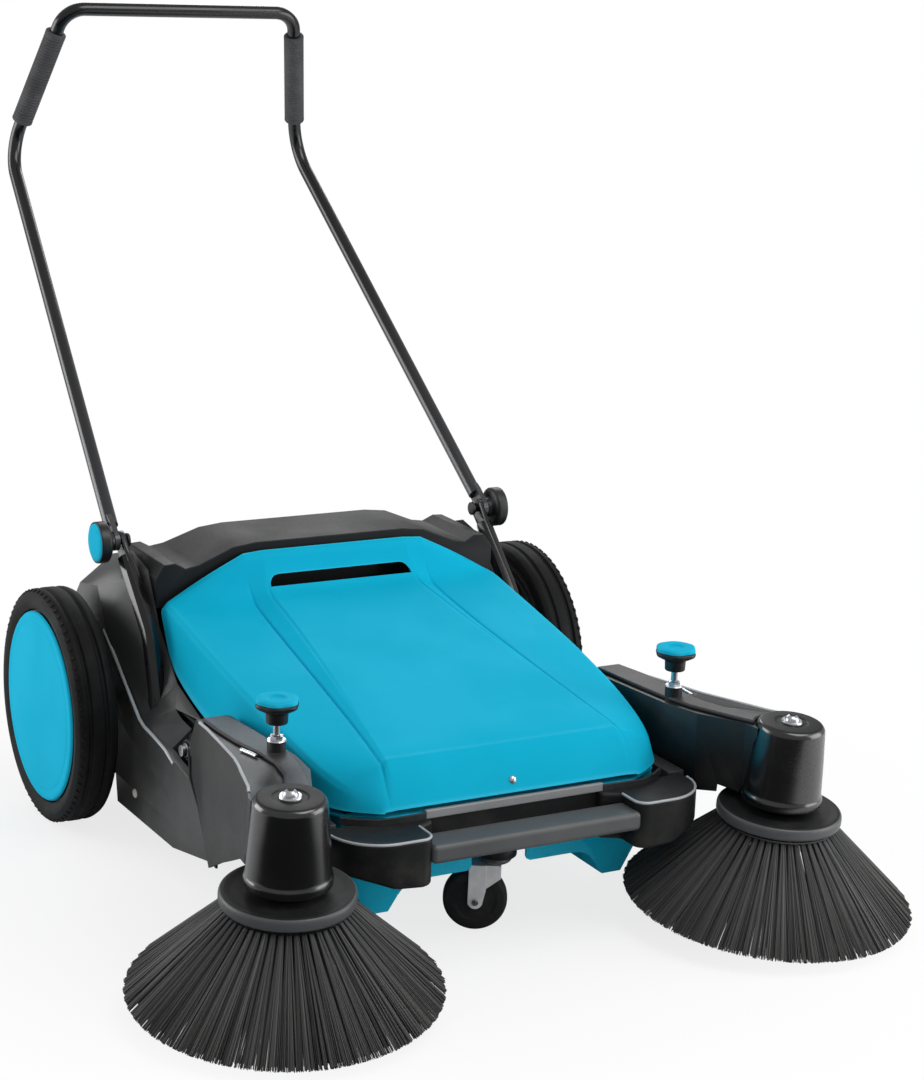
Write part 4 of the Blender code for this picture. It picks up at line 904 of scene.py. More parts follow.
@dataclass
class Sided:
    """Something that the machine has once on each side."""

    side: Side

    def at(self, x: float, y: float, z: float) -> Vector:
        """A point of the right side, mirrored to this one."""
        return at(self.side.sign * x, y, z)

    def piece(self, name: str, body: str, finishes: Sequence[str], node: str = "", **look: float) -> Piece:
        """A piece that is named for its side.

        Args:
            name: the piece's name without its side.
            body: the body's name without its side, or "chassis" or "hopper", which have none.
            finishes: its finishes.
            node: the CAD node that it replaces, without its side, or none.
            look: its rounding, segments and crease.

        Returns:
            The piece, still without a mesh.
        """
        word = self.side.word
        rides = body if body in ("chassis", "hopper") else f"{word}_{body}"
        return Piece(f"{name}_{word}", rides, finishes, (f"{node}_{word}",) if node else (), **look)


@dataclass(frozen=True)
class Growth:
    """What each strand's ends depend on: its tuft, its own random numbers and the brush's radii."""

    tree: Builder
    tuft: Signal
    tufts: Signal
    lean: Signal
    around: Signal
    depth: Signal
    short: Signal
    root_r: Signal
    tip_r: Signal


@dataclass
class StrandSet:
    """Brush strands in tufts, grown by Geometry Nodes in the brush's own frame, its axis along Z.

    In a ring, the tufts stand in rows round the axis and lean down and out. On a roller they stand in
    spiral rows along the axis and point straight out.
    """

    lay: Lay
    tufts: int
    strands: int
    root_radius: float
    tip_radius: float
    root_height: float
    tip_height: float
    spread: float
    tuft_size: float
    thick: float
    length: float = 0.0
    rows: int = 1
    turns: float = 0.0
    seed: int = 7
    sides: int = 4
    rings: int = 4
    taper: float = 0.30
    shade_shares: tuple[float, float, float] = (0.35, 0.50, 0.15)

    def mesh(self, name: str) -> bpy.types.Mesh:
        """Grows the strands.

        Args:
            name: the tree's name.

        Returns:
            The strands as one plain mesh in the brush's frame.
        """
        tree = Builder(name)
        seed = tree.size("Seed", self.seed, "NodeSocketInt")
        per_tuft = tree.size("Strands per tuft", float(self.strands))
        tufts = tree.size("Tufts", float(self.tufts))
        root_r = tree.size("Root radius", self.root_radius)
        tip_r = tree.size("Tip radius", self.tip_radius)
        thick = tree.size("Strand radius", self.thick)
        count = self.tufts * self.strands
        line = tree.node(
            "GeometryNodeMeshLine", {"mode": "OFFSET"}, {"Count": count, "Offset": (0.0, 0.0, 0.0)}
        )
        index = tree.index()
        tuft = (index / per_tuft).floor()
        lean, around, depth = (tree.chance(-1.0, 1.0, seed, salt) for salt in (1, 2, 3))
        shade, short, bunch = (tree.chance(0.0, 1.0, seed, salt) for salt in (4, 5, 6))
        tree.feed(bunch.socket.node.inputs["ID"], tuft)
        # the middle share darkens strands at each tuft's edges: painted shade in the gaps between tufts;
        # own and shared are random shade by strand and by tuft
        own, middle, shared = self.shade_shares
        shade = shade * own + (1.0 - around * around) * middle + bunch * shared
        growth = Growth(tree, tuft, tufts, lean, around, depth, short, root_r, tip_r)
        if self.lay is Lay.SPIRAL:
            # the roller's shade is halved: its strands are darker and get none of the painted root
            # highlight
            shade = shade * 0.5
            root, tip = self._spiral_ends(growth)
        else:
            root, tip = self._ring_ends(growth)
        line = tree.moved(line, root)
        line = tree.store(line, "strand_shade", shade)
        reach = tree.node("ShaderNodeVectorMath", {"operation": "SUBTRACT"}, {0: tip, 1: root})
        long = tree.node("ShaderNodeVectorMath", {"operation": "LENGTH"}, {0: reach}, "Value")
        turn = tree.node("FunctionNodeAlignRotationToVector", {"axis": "Z"}, {"Vector": reach})
        rod = self._strand(tree, thick)
        stretched = tree.vector(1.0, 1.0, long)
        inputs = {"Points": line, "Instance": rod, "Rotation": turn, "Scale": stretched}
        grown = tree.node("GeometryNodeInstanceOnPoints", None, inputs)
        tree.finish(grown, Piece.palette["bristle"])
        return tree.run(bpy.data.meshes.new(name))

    def _strand(self, tree: Builder, thick: Signal) -> Signal:
        """One strand of length 1 up the Z axis, thinner towards its tip."""
        settings = {"fill_type": "NONE"}
        inputs = {"Vertices": self.sides, "Side Segments": self.rings - 1, "Radius": thick, "Depth": 1.0}
        rod = tree.node("GeometryNodeMeshCylinder", settings, inputs)
        x, y, z = tree.split(tree.node("GeometryNodeInputPosition"))
        share = z + 0.5
        taper = 1.0 - share * share * self.taper
        rod = tree.moved(rod, tree.vector(x * taper, y * taper, share))
        return tree.store(rod, "strand_reach", share)

    def _ring_ends(self, g: Growth) -> tuple[Signal, Signal]:
        """Root and tip of each strand of a flared ring brush, whose inner rows are shorter."""
        row = g.tuft % float(self.rows)
        share = (g.tuft / float(self.rows)).floor() * (self.rows / self.tufts)
        turn = (share + row * (0.5 / self.tufts * self.rows)) * FULL_TURN
        inward = row / float(max(self.rows - 1, 1))
        root_turn = turn + g.around * self.tuft_size / self.root_radius
        tip_turn = turn + g.around * self.spread + g.lean * self.spread * 0.08
        foot = g.root_r - inward * 0.011 + g.depth * self.tuft_size
        bulge = 0.5 - g.around * g.around
        far = g.tip_r - inward * (self.tip_radius * 0.08) + bulge * 0.003
        far = far + g.depth * 0.001 - g.short * g.short * 0.0015
        low = self.tip_height - inward * 0.003 + g.depth * 0.002 + bulge * 0.002
        return g.tree.polar(root_turn, foot, self.root_height), g.tree.polar(tip_turn, far, low)

    def _spiral_ends(self, g: Growth) -> tuple[Signal, Signal]:
        """Root and tip of each strand of a roller whose rows wind along it."""
        row = g.tuft % float(self.rows)
        along = (g.tuft / float(self.rows)).floor() / (g.tufts / float(self.rows) - 1.0)
        turn = (row / float(self.rows) + along * self.turns) * FULL_TURN
        root_turn = turn + g.around * self.tuft_size / self.root_radius
        tip_turn = turn + g.around * self.spread
        high = (along - 0.5) * self.length
        top = high + g.lean * self.spread * self.tip_radius * 0.6
        far = g.tip_r - g.short * g.short * 0.006 + g.depth * 0.001
        root = g.tree.polar(root_turn, g.root_r, high + g.lean * self.tuft_size)
        return root, g.tree.polar(tip_turn, far, top)


@dataclass
class Wheel(Sided):
    """One transport wheel: a grooved tyre, its black rim and the blue cover disc."""

    radius: float = 0.150
    face_x: float = 0.363
    width: float = 0.056
    seat: float = 0.1236
    disc_radius: float = 0.1214
    bore: float = 0.0103
    hub: float = 0.026
    steps: int = 96
    blocks: int = 72
    ribs: int = 8
    groove: float = 0.0105
    block_size: Point = (0.0040, 0.0046, 0.0052)

    def place(self) -> Matrix:
        """From the wheel's own frame, its Z outwards along the axle, to the machine's."""
        middle = self.at(self.face_x - self.width / 2, 0.0, AXLE_Z)
        return axis_frame(middle, Vector((self.side.sign, 0.0, 0.0)), Z_AXIS)

    def tyre(self) -> None:
        """The tyre with its round shoulders, two grooves round it and low blocks on its outer shoulder."""
        half = self.width / 2
        r = self.radius
        profile = [(self.seat, -half + 0.0045), (self.seat + 0.009, -half + 0.0008), (r - 0.011, -half)]
        profile += [(r - 0.0035, -half + 0.004), (r - 0.0006, -half + 0.010)]
        for middle in (-self.groove, self.groove):
            profile += [(r, middle - 0.0032), (r - 0.0032, middle - 0.0020)]
            profile += [(r - 0.0032, middle + 0.0020), (r, middle + 0.0032)]
        profile += [(r - 0.0006, half - 0.010), (r - 0.0035, half - 0.004)]
        profile += [(r - 0.011, half), (self.seat + 0.009, half - 0.0008), (self.seat, half - 0.0045)]
        profile += [(self.seat - 0.0004, half - 0.008), (self.seat - 0.0004, -half + 0.008)]
        shape = spun(softened(profile, 0.0014, 2), self.steps, self.place())
        piece = self.piece("tyre", "wheel", ("tyre",), "wheel_tyre", crease=42)
        shape.from_mesh(self._blocks(piece.name))
        piece.from_bmesh(shape)

    def _blocks(self, name: str) -> bpy.types.Mesh:
        """The low rubber blocks on the outer shoulder of the tread."""
        tree = Builder(name + "_blocks")
        count = tree.size("Blocks", self.blocks, "NodeSocketInt")
        radius = tree.size("Radius", self.radius - 0.0036)
        aside = tree.size("Aside", self.width / 2 - 0.0062)
        line = tree.node("GeometryNodeMeshLine", {"mode": "OFFSET"}, {"Count": self.blocks})
        turn = tree.index() / count * FULL_TURN
        line = tree.moved(line, tree.polar(turn, radius, aside))
        block = tree.node("GeometryNodeMeshCube", None, {"Size": self.block_size})
        facing = tree.vector(turn.cos(), turn.sin(), 0.85)
        rotation = tree.node("FunctionNodeAlignRotationToVector", {"axis": "X"}, {"Vector": facing})
        inputs = {"Points": line, "Instance": block, "Rotation": rotation}
        copies = tree.node("GeometryNodeInstanceOnPoints", None, inputs)
        tree.finish(copies, Piece.palette["tyre"])
        return placed(tree.run(bpy.data.meshes.new(name)), self.place())

    def rim(self) -> None:
        """The black rim behind the disc: a deep dish, a hub and ribs between them."""
        half = self.width / 2
        seat = self.seat - 0.0006
        profile = [(self.bore, 0.012), (self.hub, 0.012), (self.hub, -0.006), (seat - 0.006, -0.006)]
        profile += [(seat - 0.006, half - 0.0075), (seat, half - 0.0075), (seat, -half + 0.004)]
        profile += [(seat - 0.008, -half + 0.004), (seat - 0.012, -0.011), (0.030, -0.011)]
        profile += [(self.hub, -half + 0.001), (self.bore, -half + 0.001)]
        shape = spun(softened(profile, 0.0016), self.steps, self.place())
        for i in range(self.ribs):
            turn = Matrix.Rotation(FULL_TURN * i / self.ribs, 4, "Z")
            rib = self.place() @ turn @ Matrix.Translation((0.069, 0.0, -0.0150))
            size = Matrix.Diagonal((0.084, 0.0036, 0.009, 1.0))
            bmesh.ops.create_cube(shape, size=1.0, matrix=rib @ size)
        piece = self.piece("rim", "wheel", ("black",), "wheel_rim", rounding=0.0006, crease=50)
        piece.from_bmesh(shape)

    def disc(self) -> None:
        """The blue cover disc: slightly crowned, with a rolled edge and a shallow ring."""
        half = self.width / 2
        r = self.disc_radius
        front = [(0.0, half), (0.030, half - 0.00005), (0.070, half - 0.0003), (r - 0.016, half - 0.0006)]
        front += [(r - 0.0135, half - 0.0012), (r - 0.0110, half - 0.0010), (r - 0.006, half - 0.0004)]
        front += [(r - 0.002, half - 0.0010), (r, half - 0.0034), (r, half - 0.0042)]
        back = [(r - 0.004, half - 0.0042), (r - 0.012, half - 0.0036), (0.0, half - 0.003)]
        shape = spun(softened(front + back, 0.0012, 3), self.steps, self.place())
        self.piece("cover_disc", "wheel", ("blue",), "wheel_disc", crease=50).from_bmesh(shape)

    def build(self) -> None:
        """Builds the whole wheel."""
        self.tyre()
        self.rim()
        self.disc()


@dataclass
class SideBrush(Sided):
    """One side brush on its leaning axis: the cup above, the plate and the strands."""

    x: float = 0.316
    y: float = -0.661
    z: float = 0.138
    lean_forward: float = 0.076
    lean_out: float = 0.028
    flange_radius: float = 0.0736
    cup_base: float = 0.014
    cup_height: float = 0.098
    cup_low_radius: float = 0.047
    cup_top_radius: float = 0.041
    cup_wall: float = 0.0034
    bolt_hole: float = 0.0066
    rim_width: float = 0.0042
    plate_top: float = 0.92
    cup_top: float = 0.80
    seeds: tuple[int, int] = (11, 23)
    steps: int = 72
    strands: StrandSet = field(
        default_factory=lambda: StrandSet(
            Lay.RING, 108, 58, 0.0660, 0.1695, -0.0135, -0.1110, 0.064, 0.0023, 0.00068, rows=2
        )
    )

    def axis(self) -> Vector:
        """The way up along the leaning axis."""
        return Vector((self.side.sign * self.lean_out, -self.lean_forward, 1.0))

    def place(self) -> Matrix:
        """From the brush's own frame, its Z up the axis, to the machine's."""
        return axis_frame(self.at(self.x, self.y, self.z), self.axis(), X_AXIS)

    def bristles(self) -> None:
        """The flared strands."""
        self.strands.seed = self.seeds[self.side is Side.RIGHT]
        mesh = placed(self.strands.mesh(f"strands_{self.side.word}"), self.place())
        piece = self.piece("side_brush_strands", "side_brush", ("bristle",), "side_brush", crease=180)
        piece.from_mesh(mesh)

    def flange(self) -> None:
        """The brush plate: a dished disc with a rolled edge, over the block that holds the tufts."""
        r = self.flange_radius
        profile = [(0.0085, 0.0120), (0.030, 0.0120), (0.034, 0.0062), (0.046, 0.0048), (0.060, 0.0050)]
        profile += [(r - 0.0050, 0.0062), (r - 0.0012, 0.0050), (r, 0.0016), (r, -0.0060)]
        profile += [(r - 0.0022, -0.0092), (r - 0.0050, -0.0100), (r - 0.0052, -0.0150), (0.045, -0.0152)]
        profile += [(0.040, -0.0080), (0.0085, -0.0080)]
        shape = spun(softened(profile, 0.0022), self.steps, self.place())
        middle, up = self.place().to_translation(), self.place().col[2].to_3d()
        dull_top(shape, up, self.plate_top)
        # the side faces of the plate's rim take the lighter bar finish as a painted highlight
        for face in shape.faces:
            away = face.calc_center_median() - middle
            on_rim = (away - up * away.dot(up)).length > r - self.rim_width
            if on_rim and -0.5 < face.normal.dot(up) < self.plate_top:
                face.material_index = 2
        finishes = ("gloss_black", "matt_black", "bar")
        piece = self.piece("brush_plate", "side_brush", finishes, "brush_flange", crease=45)
        piece.from_bmesh(shape)

    def cup(self) -> None:
        """The moulded cup over the brush drive, open below, with a washer seat and a bolt hole on top."""
        low, high = self.cup_base, self.cup_base + self.cup_height
        a, b = self.cup_low_radius, self.cup_top_radius
        wall, bolt = self.cup_wall, self.bolt_hole
        profile = [(bolt, high), (0.0120, high), (0.0128, high - 0.0014), (0.0185, high - 0.0016)]
        profile += [(0.0200, high - 0.0003), (b - 0.0052, high - 0.0010), (b - 0.0012, high - 0.0058)]
        profile += [(b + (a - b) * 0.40, high - 0.048), (a - 0.0012, low + 0.0125)]
        profile += [(a + 0.0008, low + 0.0085), (a + 0.0008, low + 0.0012)]
        profile += [(a, low), (a - wall, low), (a - wall, low + 0.010)]
        profile += [(b - wall, high - 0.010), (b - wall - 0.004, high - wall - 0.002)]
        profile += [(0.0140, high - wall - 0.002), (0.0140, low + 0.036), (bolt, low + 0.036)]
        shape = spun(softened(profile, 0.0030), self.steps, self.place())
        dull_top(shape, self.place().col[2].to_3d(), self.cup_top)
        piece = self.piece("drive_cup", "arm", ("gloss_black", "matt_black"), "brush_cup", crease=50)
        piece.from_bmesh(shape)

    def build(self) -> None:
        """Builds the whole brush."""
        self.bristles()
        self.flange()
        self.cup()


@dataclass(frozen=True)
class Station:
    """One row across the lid: heights and half widths of its panel, step, shoulder and edge."""

    y: float
    panel_z: float
    panel_x: float
    step_x: float
    step_z: float
    shoulder_x: float
    shoulder_z: float
    edge_x: float
    edge_z: float
    inner_groove: float = 0.0
    outer_groove: float = 0.0


@dataclass
class Hood:
    """The blue hopper lid: a drawn-out shell with a raised panel, a hand slot and a turned lower lip."""

    stations: tuple = tuple(
        Station(*row)
        for row in (
            (-0.100, 0.3550, 0.100, 0.126, 0.3530, 0.233, 0.2985, 0.2365, 0.2900),
            (-0.108, 0.3500, 0.101, 0.126, 0.3460, 0.234, 0.2985, 0.2375, 0.2800),
            (-0.118, 0.3280, 0.102, 0.126, 0.3180, 0.234, 0.2980, 0.2380, 0.2660),
            (-0.132, 0.3110, 0.104, 0.126, 0.3030, 0.234, 0.2960, 0.2380, 0.2400, 0.0012, 0.0010),
            (-0.146, 0.3060, 0.105, 0.127, 0.2970, 0.234, 0.2930, 0.2380, 0.2260, 0.0024, 0.0022),
            (-0.190, 0.2995, 0.108, 0.129, 0.2885, 0.234, 0.2850, 0.2380, 0.2080, 0.0026, 0.0026),
            (-0.250, 0.2880, 0.113, 0.132, 0.2770, 0.234, 0.2735, 0.2380, 0.1915, 0.0024, 0.0026),
            (-0.330, 0.2730, 0.122, 0.137, 0.2640, 0.233, 0.2590, 0.2375, 0.1860, 0.0016, 0.0026),
            (-0.430, 0.2540, 0.134, 0.144, 0.2480, 0.228, 0.2380, 0.2340, 0.1820, 0.0006, 0.0026),
            (-0.500, 0.2405, 0.143, 0.150, 0.2370, 0.221, 0.2200, 0.2280, 0.1800, 0.0, 0.0026),
            (-0.536, 0.2338, 0.148, 0.154, 0.2308, 0.211, 0.2092, 0.2190, 0.1792, 0.0, 0.0026),
            (-0.548, 0.2300, 0.149, 0.155, 0.2275, 0.205, 0.2055, 0.2125, 0.1789, 0.0, 0.0026),
            (-0.555, 0.2296, 0.150, 0.156, 0.2265, 0.201, 0.2030, 0.2080, 0.1787, 0.0, 0.0026),
            (-0.562, 0.2235, 0.150, 0.157, 0.2205, 0.196, 0.2000, 0.2025, 0.1785, 0.0, 0.0026),
            (-0.573, 0.2060, 0.150, 0.158, 0.2040, 0.184, 0.1915, 0.1885, 0.1782, 0.0, 0.0020),
            (-0.586, 0.1800, 0.150, 0.157, 0.1795, 0.165, 0.1790, 0.1680, 0.1780),
        )
    )
    wall: float = 0.003
    slot_half: float = 0.100
    slot_z: tuple[float, float] = (0.2990, 0.3275)
    slot_y: tuple[float, float] = (-0.130, -0.1035)
    levels: int = 3
    groove_half: float = 0.0032
    fold_creases: tuple = (0.0, 0.0, 0.55, 0.50, 0.35, 0.55, 0.50, 0.60, 0.0, 0.70, 0.50, 0.0)
    row_creases: tuple = ((1, 0.35), (3, 0.15), (11, 0.45), (12, 0.70), (13, 0.25))
    fading_rows: int = 3
    shoulder_drop: float = 0.005

    def _row(self, at_row: Station) -> list[Vector]:
        """One row of the cage, from the left edge over the panel to the right edge."""
        s, wide = at_row, self.groove_half
        slope = (s.step_z - s.panel_z) / max(s.step_x - s.panel_x, 1e-6)
        middle_x = (s.step_x + s.shoulder_x) / 2
        full = min(1.0, (s.shoulder_z - s.edge_z) / self.shoulder_drop)
        middle_z = (s.step_z + s.shoulder_z) / 2 + 0.002 * full
        fall = (s.step_z - middle_z) / max(middle_x - s.step_x, 1e-6)
        near, drop = wide * 0.8, self.shoulder_drop * full
        half = [(s.panel_x / 2, s.panel_z), (s.panel_x - wide, s.panel_z)]
        half += [(s.panel_x, s.panel_z - s.inner_groove), (s.panel_x + near, s.panel_z + slope * near)]
        near = wide * 0.6
        half += [(s.step_x - near, s.step_z - slope * near), (s.step_x, s.step_z - s.outer_groove)]
        half += [(s.step_x + wide, s.step_z - fall * wide), (middle_x, middle_z)]
        half += [(s.shoulder_x - drop, s.shoulder_z + drop / 5), (s.shoulder_x, s.shoulder_z - drop)]
        half += [(s.edge_x, s.edge_z)]
        left = [at(-x, s.y, z) for x, z in reversed(half)]
        return left + [at(0.0, s.y, s.panel_z)] + [at(x, s.y, z) for x, z in half]

    def _cage(self) -> bpy.types.Mesh:
        """The cage of the shell, its folds creased."""
        shape = bmesh.new()
        rows = [[shape.verts.new(p) for p in self._row(s)] for s in self.stations]
        for back, ahead in zip(rows, rows[1:]):
            for i in range(len(back) - 1):
                shape.faces.new((back[i], ahead[i], ahead[i + 1], back[i + 1]))
        crease = shape.edges.layers.float.new("crease_edge")
        middle = len(rows[0]) // 2
        for row, (back, ahead) in enumerate(zip(rows[:-1], rows[1:-1])):
            fade = min(1.0, (len(rows) - 3 - row) / self.fading_rows)
            for i in range(len(back)):
                edge = shape.edges.get((back[i], ahead[i]))
                edge[crease] = self.fold_creases[abs(i - middle)] * fade
        for row, value in self.row_creases:
            for first, second in zip(rows[row], rows[row][1:]):
                shape.edges.get((first, second))[crease] = value
        bmesh.ops.recalc_face_normals(shape, faces=shape.faces)
        return to_mesh("lid_cage", shape)

    def _slot_cutter(self) -> bpy.types.Object:
        """The hand slot's cutter, with round ends."""
        low, high = self.slot_z
        radius = (high - low) / 2
        outline = []
        for sign, start in ((1, -90), (-1, 90)):
            outline += arc((sign * (self.slot_half - radius), (low + high) / 2), radius, start, 180, 8)
        front, back = ([at(x, y, z) for x, z in outline] for y in self.slot_y)
        return linked("slot_cutter", to_mesh("slot_cutter", walled(bmesh.new(), front, back)))

    def build(self) -> None:
        """Builds the lid."""
        carrier = linked("lid_carrier", self._cage())
        smooth = carrier.modifiers.new("smooth", "SUBSURF")
        smooth.levels = smooth.render_levels = self.levels
        smooth.boundary_smooth = "ALL"
        wall = carrier.modifiers.new("wall", "SOLIDIFY")
        wall.thickness = self.wall
        wall.offset = -1.0
        cutter = self._slot_cutter()
        cut = carrier.modifiers.new("hand_slot", "BOOLEAN")
        cut.object = cutter
        cut.operation = "DIFFERENCE"
        bpy.context.view_layer.update()
        graph = bpy.context.evaluated_depsgraph_get()
        mesh = bpy.data.meshes.new_from_object(carrier.evaluated_get(graph))
        bpy.data.objects.remove(carrier)
        bpy.data.objects.remove(cutter)
        Piece("lid", "hopper", ("blue",), ("hopper_lid",), crease=32).from_mesh(mesh)


def lobed(profile: Outline, steps: int, place: Matrix, lobes: int, depth: float) -> Shape:
    """A turned shape whose rim swells and shrinks round the axis, as a finger knob's does.

    Args:
        profile: (radius, height) points, as for a turned shape.
        steps: how many faces go round.
        place: from the axis's own frame to the machine's.
        lobes: how many lobes the rim has.
        depth: how far it shrinks between them, as a share of its radius.

    Returns:
        The mesh.
    """
    shape = spun(profile, steps, Matrix.Identity(4))
    rim = max(radius for radius, _ in profile)
    for vert in shape.verts:
        radius = math.hypot(vert.co.x, vert.co.y)
        turn = math.atan2(vert.co.y, vert.co.x)
        share = min(radius / rim, 1.0) ** 4 * depth * (0.5 - 0.5 * math.cos(lobes * turn))
        vert.co.x, vert.co.y = vert.co.x * (1 - share), vert.co.y * (1 - share)
    shape.transform(place)
    return shape


@dataclass
class ArmTop(Sided):
    """The top of one arm: its raised spine, the bead along its outer edge, and the height knob."""

    rim: float = 0.0256
    cap_low: float = 0.2958
    lobes: int = 6
    spine: tuple = (
        (0.2515, -0.350), (0.2845, -0.350), (0.2875, -0.400), (0.2872, -0.450), (0.2825, -0.500),
        (0.2815, -0.545), (0.2900, -0.588), (0.3070, -0.6275), (0.2940, -0.6338), (0.2835, -0.6444),
        (0.2715, -0.6080), (0.2560, -0.5520), (0.2508, -0.5000), (0.2505, -0.4200),
    )
    outer_edge: tuple = (
        (0.2890, -0.352), (0.2915, -0.380), (0.3020, -0.450), (0.3098, -0.500), (0.3165, -0.527),
        (0.3240, -0.553), (0.3370, -0.600), (0.3450, -0.620),
    )
    spine_rise: tuple[float, float] = (0.0004, 0.0056)
    rod_foot: float = 0.1043
    clip: tuple = ((0.2925, -0.482), (0.2895, -0.497), (0.2875, -0.512))
    seam: tuple = (
        (0.2868, -0.3205, 0.176), (0.2868, -0.3225, 0.150), (0.2858, -0.3477, 0.120),
        (0.2881, -0.3667, 0.100), (0.2903, -0.3857, 0.080), (0.2914, -0.3960, 0.069),
    )
    frame_line: tuple = (
        (-0.026, 0.2500), (-0.060, 0.2290), (-0.092, 0.2070), (-0.128, 0.1830), (-0.150, 0.1690),
        (-0.166, 0.1640), (-0.200, 0.1610), (-0.235, 0.1560), (-0.262, 0.1470),
    )

    @staticmethod
    def deck(y: float) -> float:
        """The height of the arm's top face at one place along it."""
        return 0.2280 - (y + 0.380) * 0.0509

    def spine_piece(self) -> None:
        """The raised spine, with rounded edges, in a lighter grey as a painted sheen on the arm's top."""
        ends = ([self.at(x, y, self.deck(y) + rise) for x, y in self.spine] for rise in self.spine_rise)
        shape, look = walled(bmesh.new(), *ends), {"rounding": 0.0022, "segments": 4, "crease": 25}
        self.piece("arm_top", "arm", ("satin_top",), "arm_cover", **look).from_bmesh(shape)

    def trims(self) -> None:
        """The rolled bead along the arm's outer top edge, light grey as a painted highlight, the seal at
        its root and the clip on its deck.
        """
        bead = [(x - 0.0008, y, self.deck(y) + 0.0004) for x, y in self.outer_edge]
        clip = [(x, y, self.deck(y) + 0.0030) for x, y in self.clip]
        for name, finish, line, radius, sides in (
            ("arm_bead", "polished", bead, 0.0018, 12),
            ("arm_seal", "soft_rubber", self.seam, 0.0022, 12),
            ("arm_clip", "zinc", clip, 0.0024, 14),
        ):
            shape = swept([self.at(*point) for point in line], radius, sides)
            self.piece(name, "arm", (finish,), crease=50).from_bmesh(shape)

    def height_knob(self) -> None:
        """The finger knob: black skirt and hub, bright threaded rod, blue cap with a hollow middle."""
        place = Matrix.Translation(self.at(*KNOB_XY, 0.0))
        low, r, foot = self.cap_low, self.rim, self.rod_foot
        skirt = [(0.0, low), (r - 0.0012, low), (r, low - 0.0022), (r - 0.0010, low - 0.0052)]
        skirt += [(r - 0.0080, low - 0.0090), (0.0128, low - 0.0110)]
        skirt += [(0.0122, low - 0.0240), (0.0, low - 0.0240)]
        shape = lobed(softened(skirt, 0.0016), 72, place, self.lobes, 0.07)
        self.piece("knob_skirt", "height_knob", ("black",), "height_knob", crease=45).from_bmesh(shape)
        rod = [(0.0, low - 0.0235), (0.0040, low - 0.0235), (0.0040, foot + 0.0007)]
        rod += [(0.0030, foot), (0.0, foot)]
        shape = spun(rod, 28, place)
        self.piece("knob_rod", "height_knob", ("zinc",), "height_knob", crease=40).from_bmesh(shape)
        cap = [(0.0, low + 0.0030), (0.0075, low + 0.0034), (0.0110, low + 0.0058)]
        cap += [(r - 0.0060, low + 0.0063), (r - 0.0012, low + 0.0048)]
        cap += [(r - 0.0004, low + 0.0002), (0.0, low + 0.0002)]
        shape = lobed(softened(cap, 0.0016), 72, place, self.lobes, 0.07)
        self.piece("knob_cap", "height_knob", ("blue",), "height_knob_cap", crease=45).from_bmesh(shape)

    def frame_edge(self) -> None:
        """The rolled edge that runs down the outer face of the side frame, light grey as a painted
        highlight.
        """
        shape = swept([self.at(0.2838, y, z) for y, z in self.frame_line], 0.0021, 12)
        self.piece("frame_edge", "chassis", ("polished",), crease=50).from_bmesh(shape)

    def build(self) -> None:
        """Builds the top of the arm and the edge of the frame behind it."""
        self.spine_piece()
        self.trims()
        self.height_knob()
        self.frame_edge()


def prism(outline: Sequence[Vector], lows: Sequence[float], high: float) -> Shape:
    """An upright shape with a flat top, whose bottom edge has its own height at each corner.

    Args:
        outline: its corners seen from above.
        lows: the height of the bottom edge at each corner.
        high: the height of the top.

    Returns:
        The mesh.
    """
    below = [Vector((p.x, p.y, z)) for p, z in zip(outline, lows)]
    return walled(bmesh.new(), below, [Vector((p.x, p.y, high)) for p in outline])


@dataclass
class Apron(Sided):
    """The lip under the tub's front on one side of the caster, which leads into the lobe there."""

    front: float = -0.5563
    back: float = -0.5528
    inner: float = 0.036
    low: float = 0.0800
    top: float = 0.1022
    fillet: tuple[float, float] = (0.100, 0.1200)
    lobe: tuple = ((0.1295, 0.0657), (0.1334, 0.0682), (0.1234, 0.0831), (0.1031, 0.1022))
    steps: int = 10

    def half(self) -> Outline:
        """The right lip's outline, from its top at the caster round to its top at the lobe."""
        x, low = self.inner, self.low
        outline = [(x, self.top), (x, low + 0.006), (x + 0.002, low + 0.002), (x + 0.006, low)]
        start, bend = ((across, low) for across in self.fillet)
        for i in range(self.steps):
            t = i / self.steps
            weights = ((1 - t) ** 2, 2 * t * (1 - t), t * t)
            spots = zip(start, bend, self.lobe[0])
            outline.append(tuple(weights[0] * a + weights[1] * b + weights[2] * c for a, b, c in spots))
        return outline + list(self.lobe)

    def build(self) -> None:
        """Builds the lip."""
        ends = ([self.at(x, y, z) for x, z in self.half()] for y in (self.front, self.back))
        shape = walled(bmesh.new(), *ends)
        self.piece("tub_lip", "hopper", ("blue",), rounding=0.0007).from_bmesh(shape)


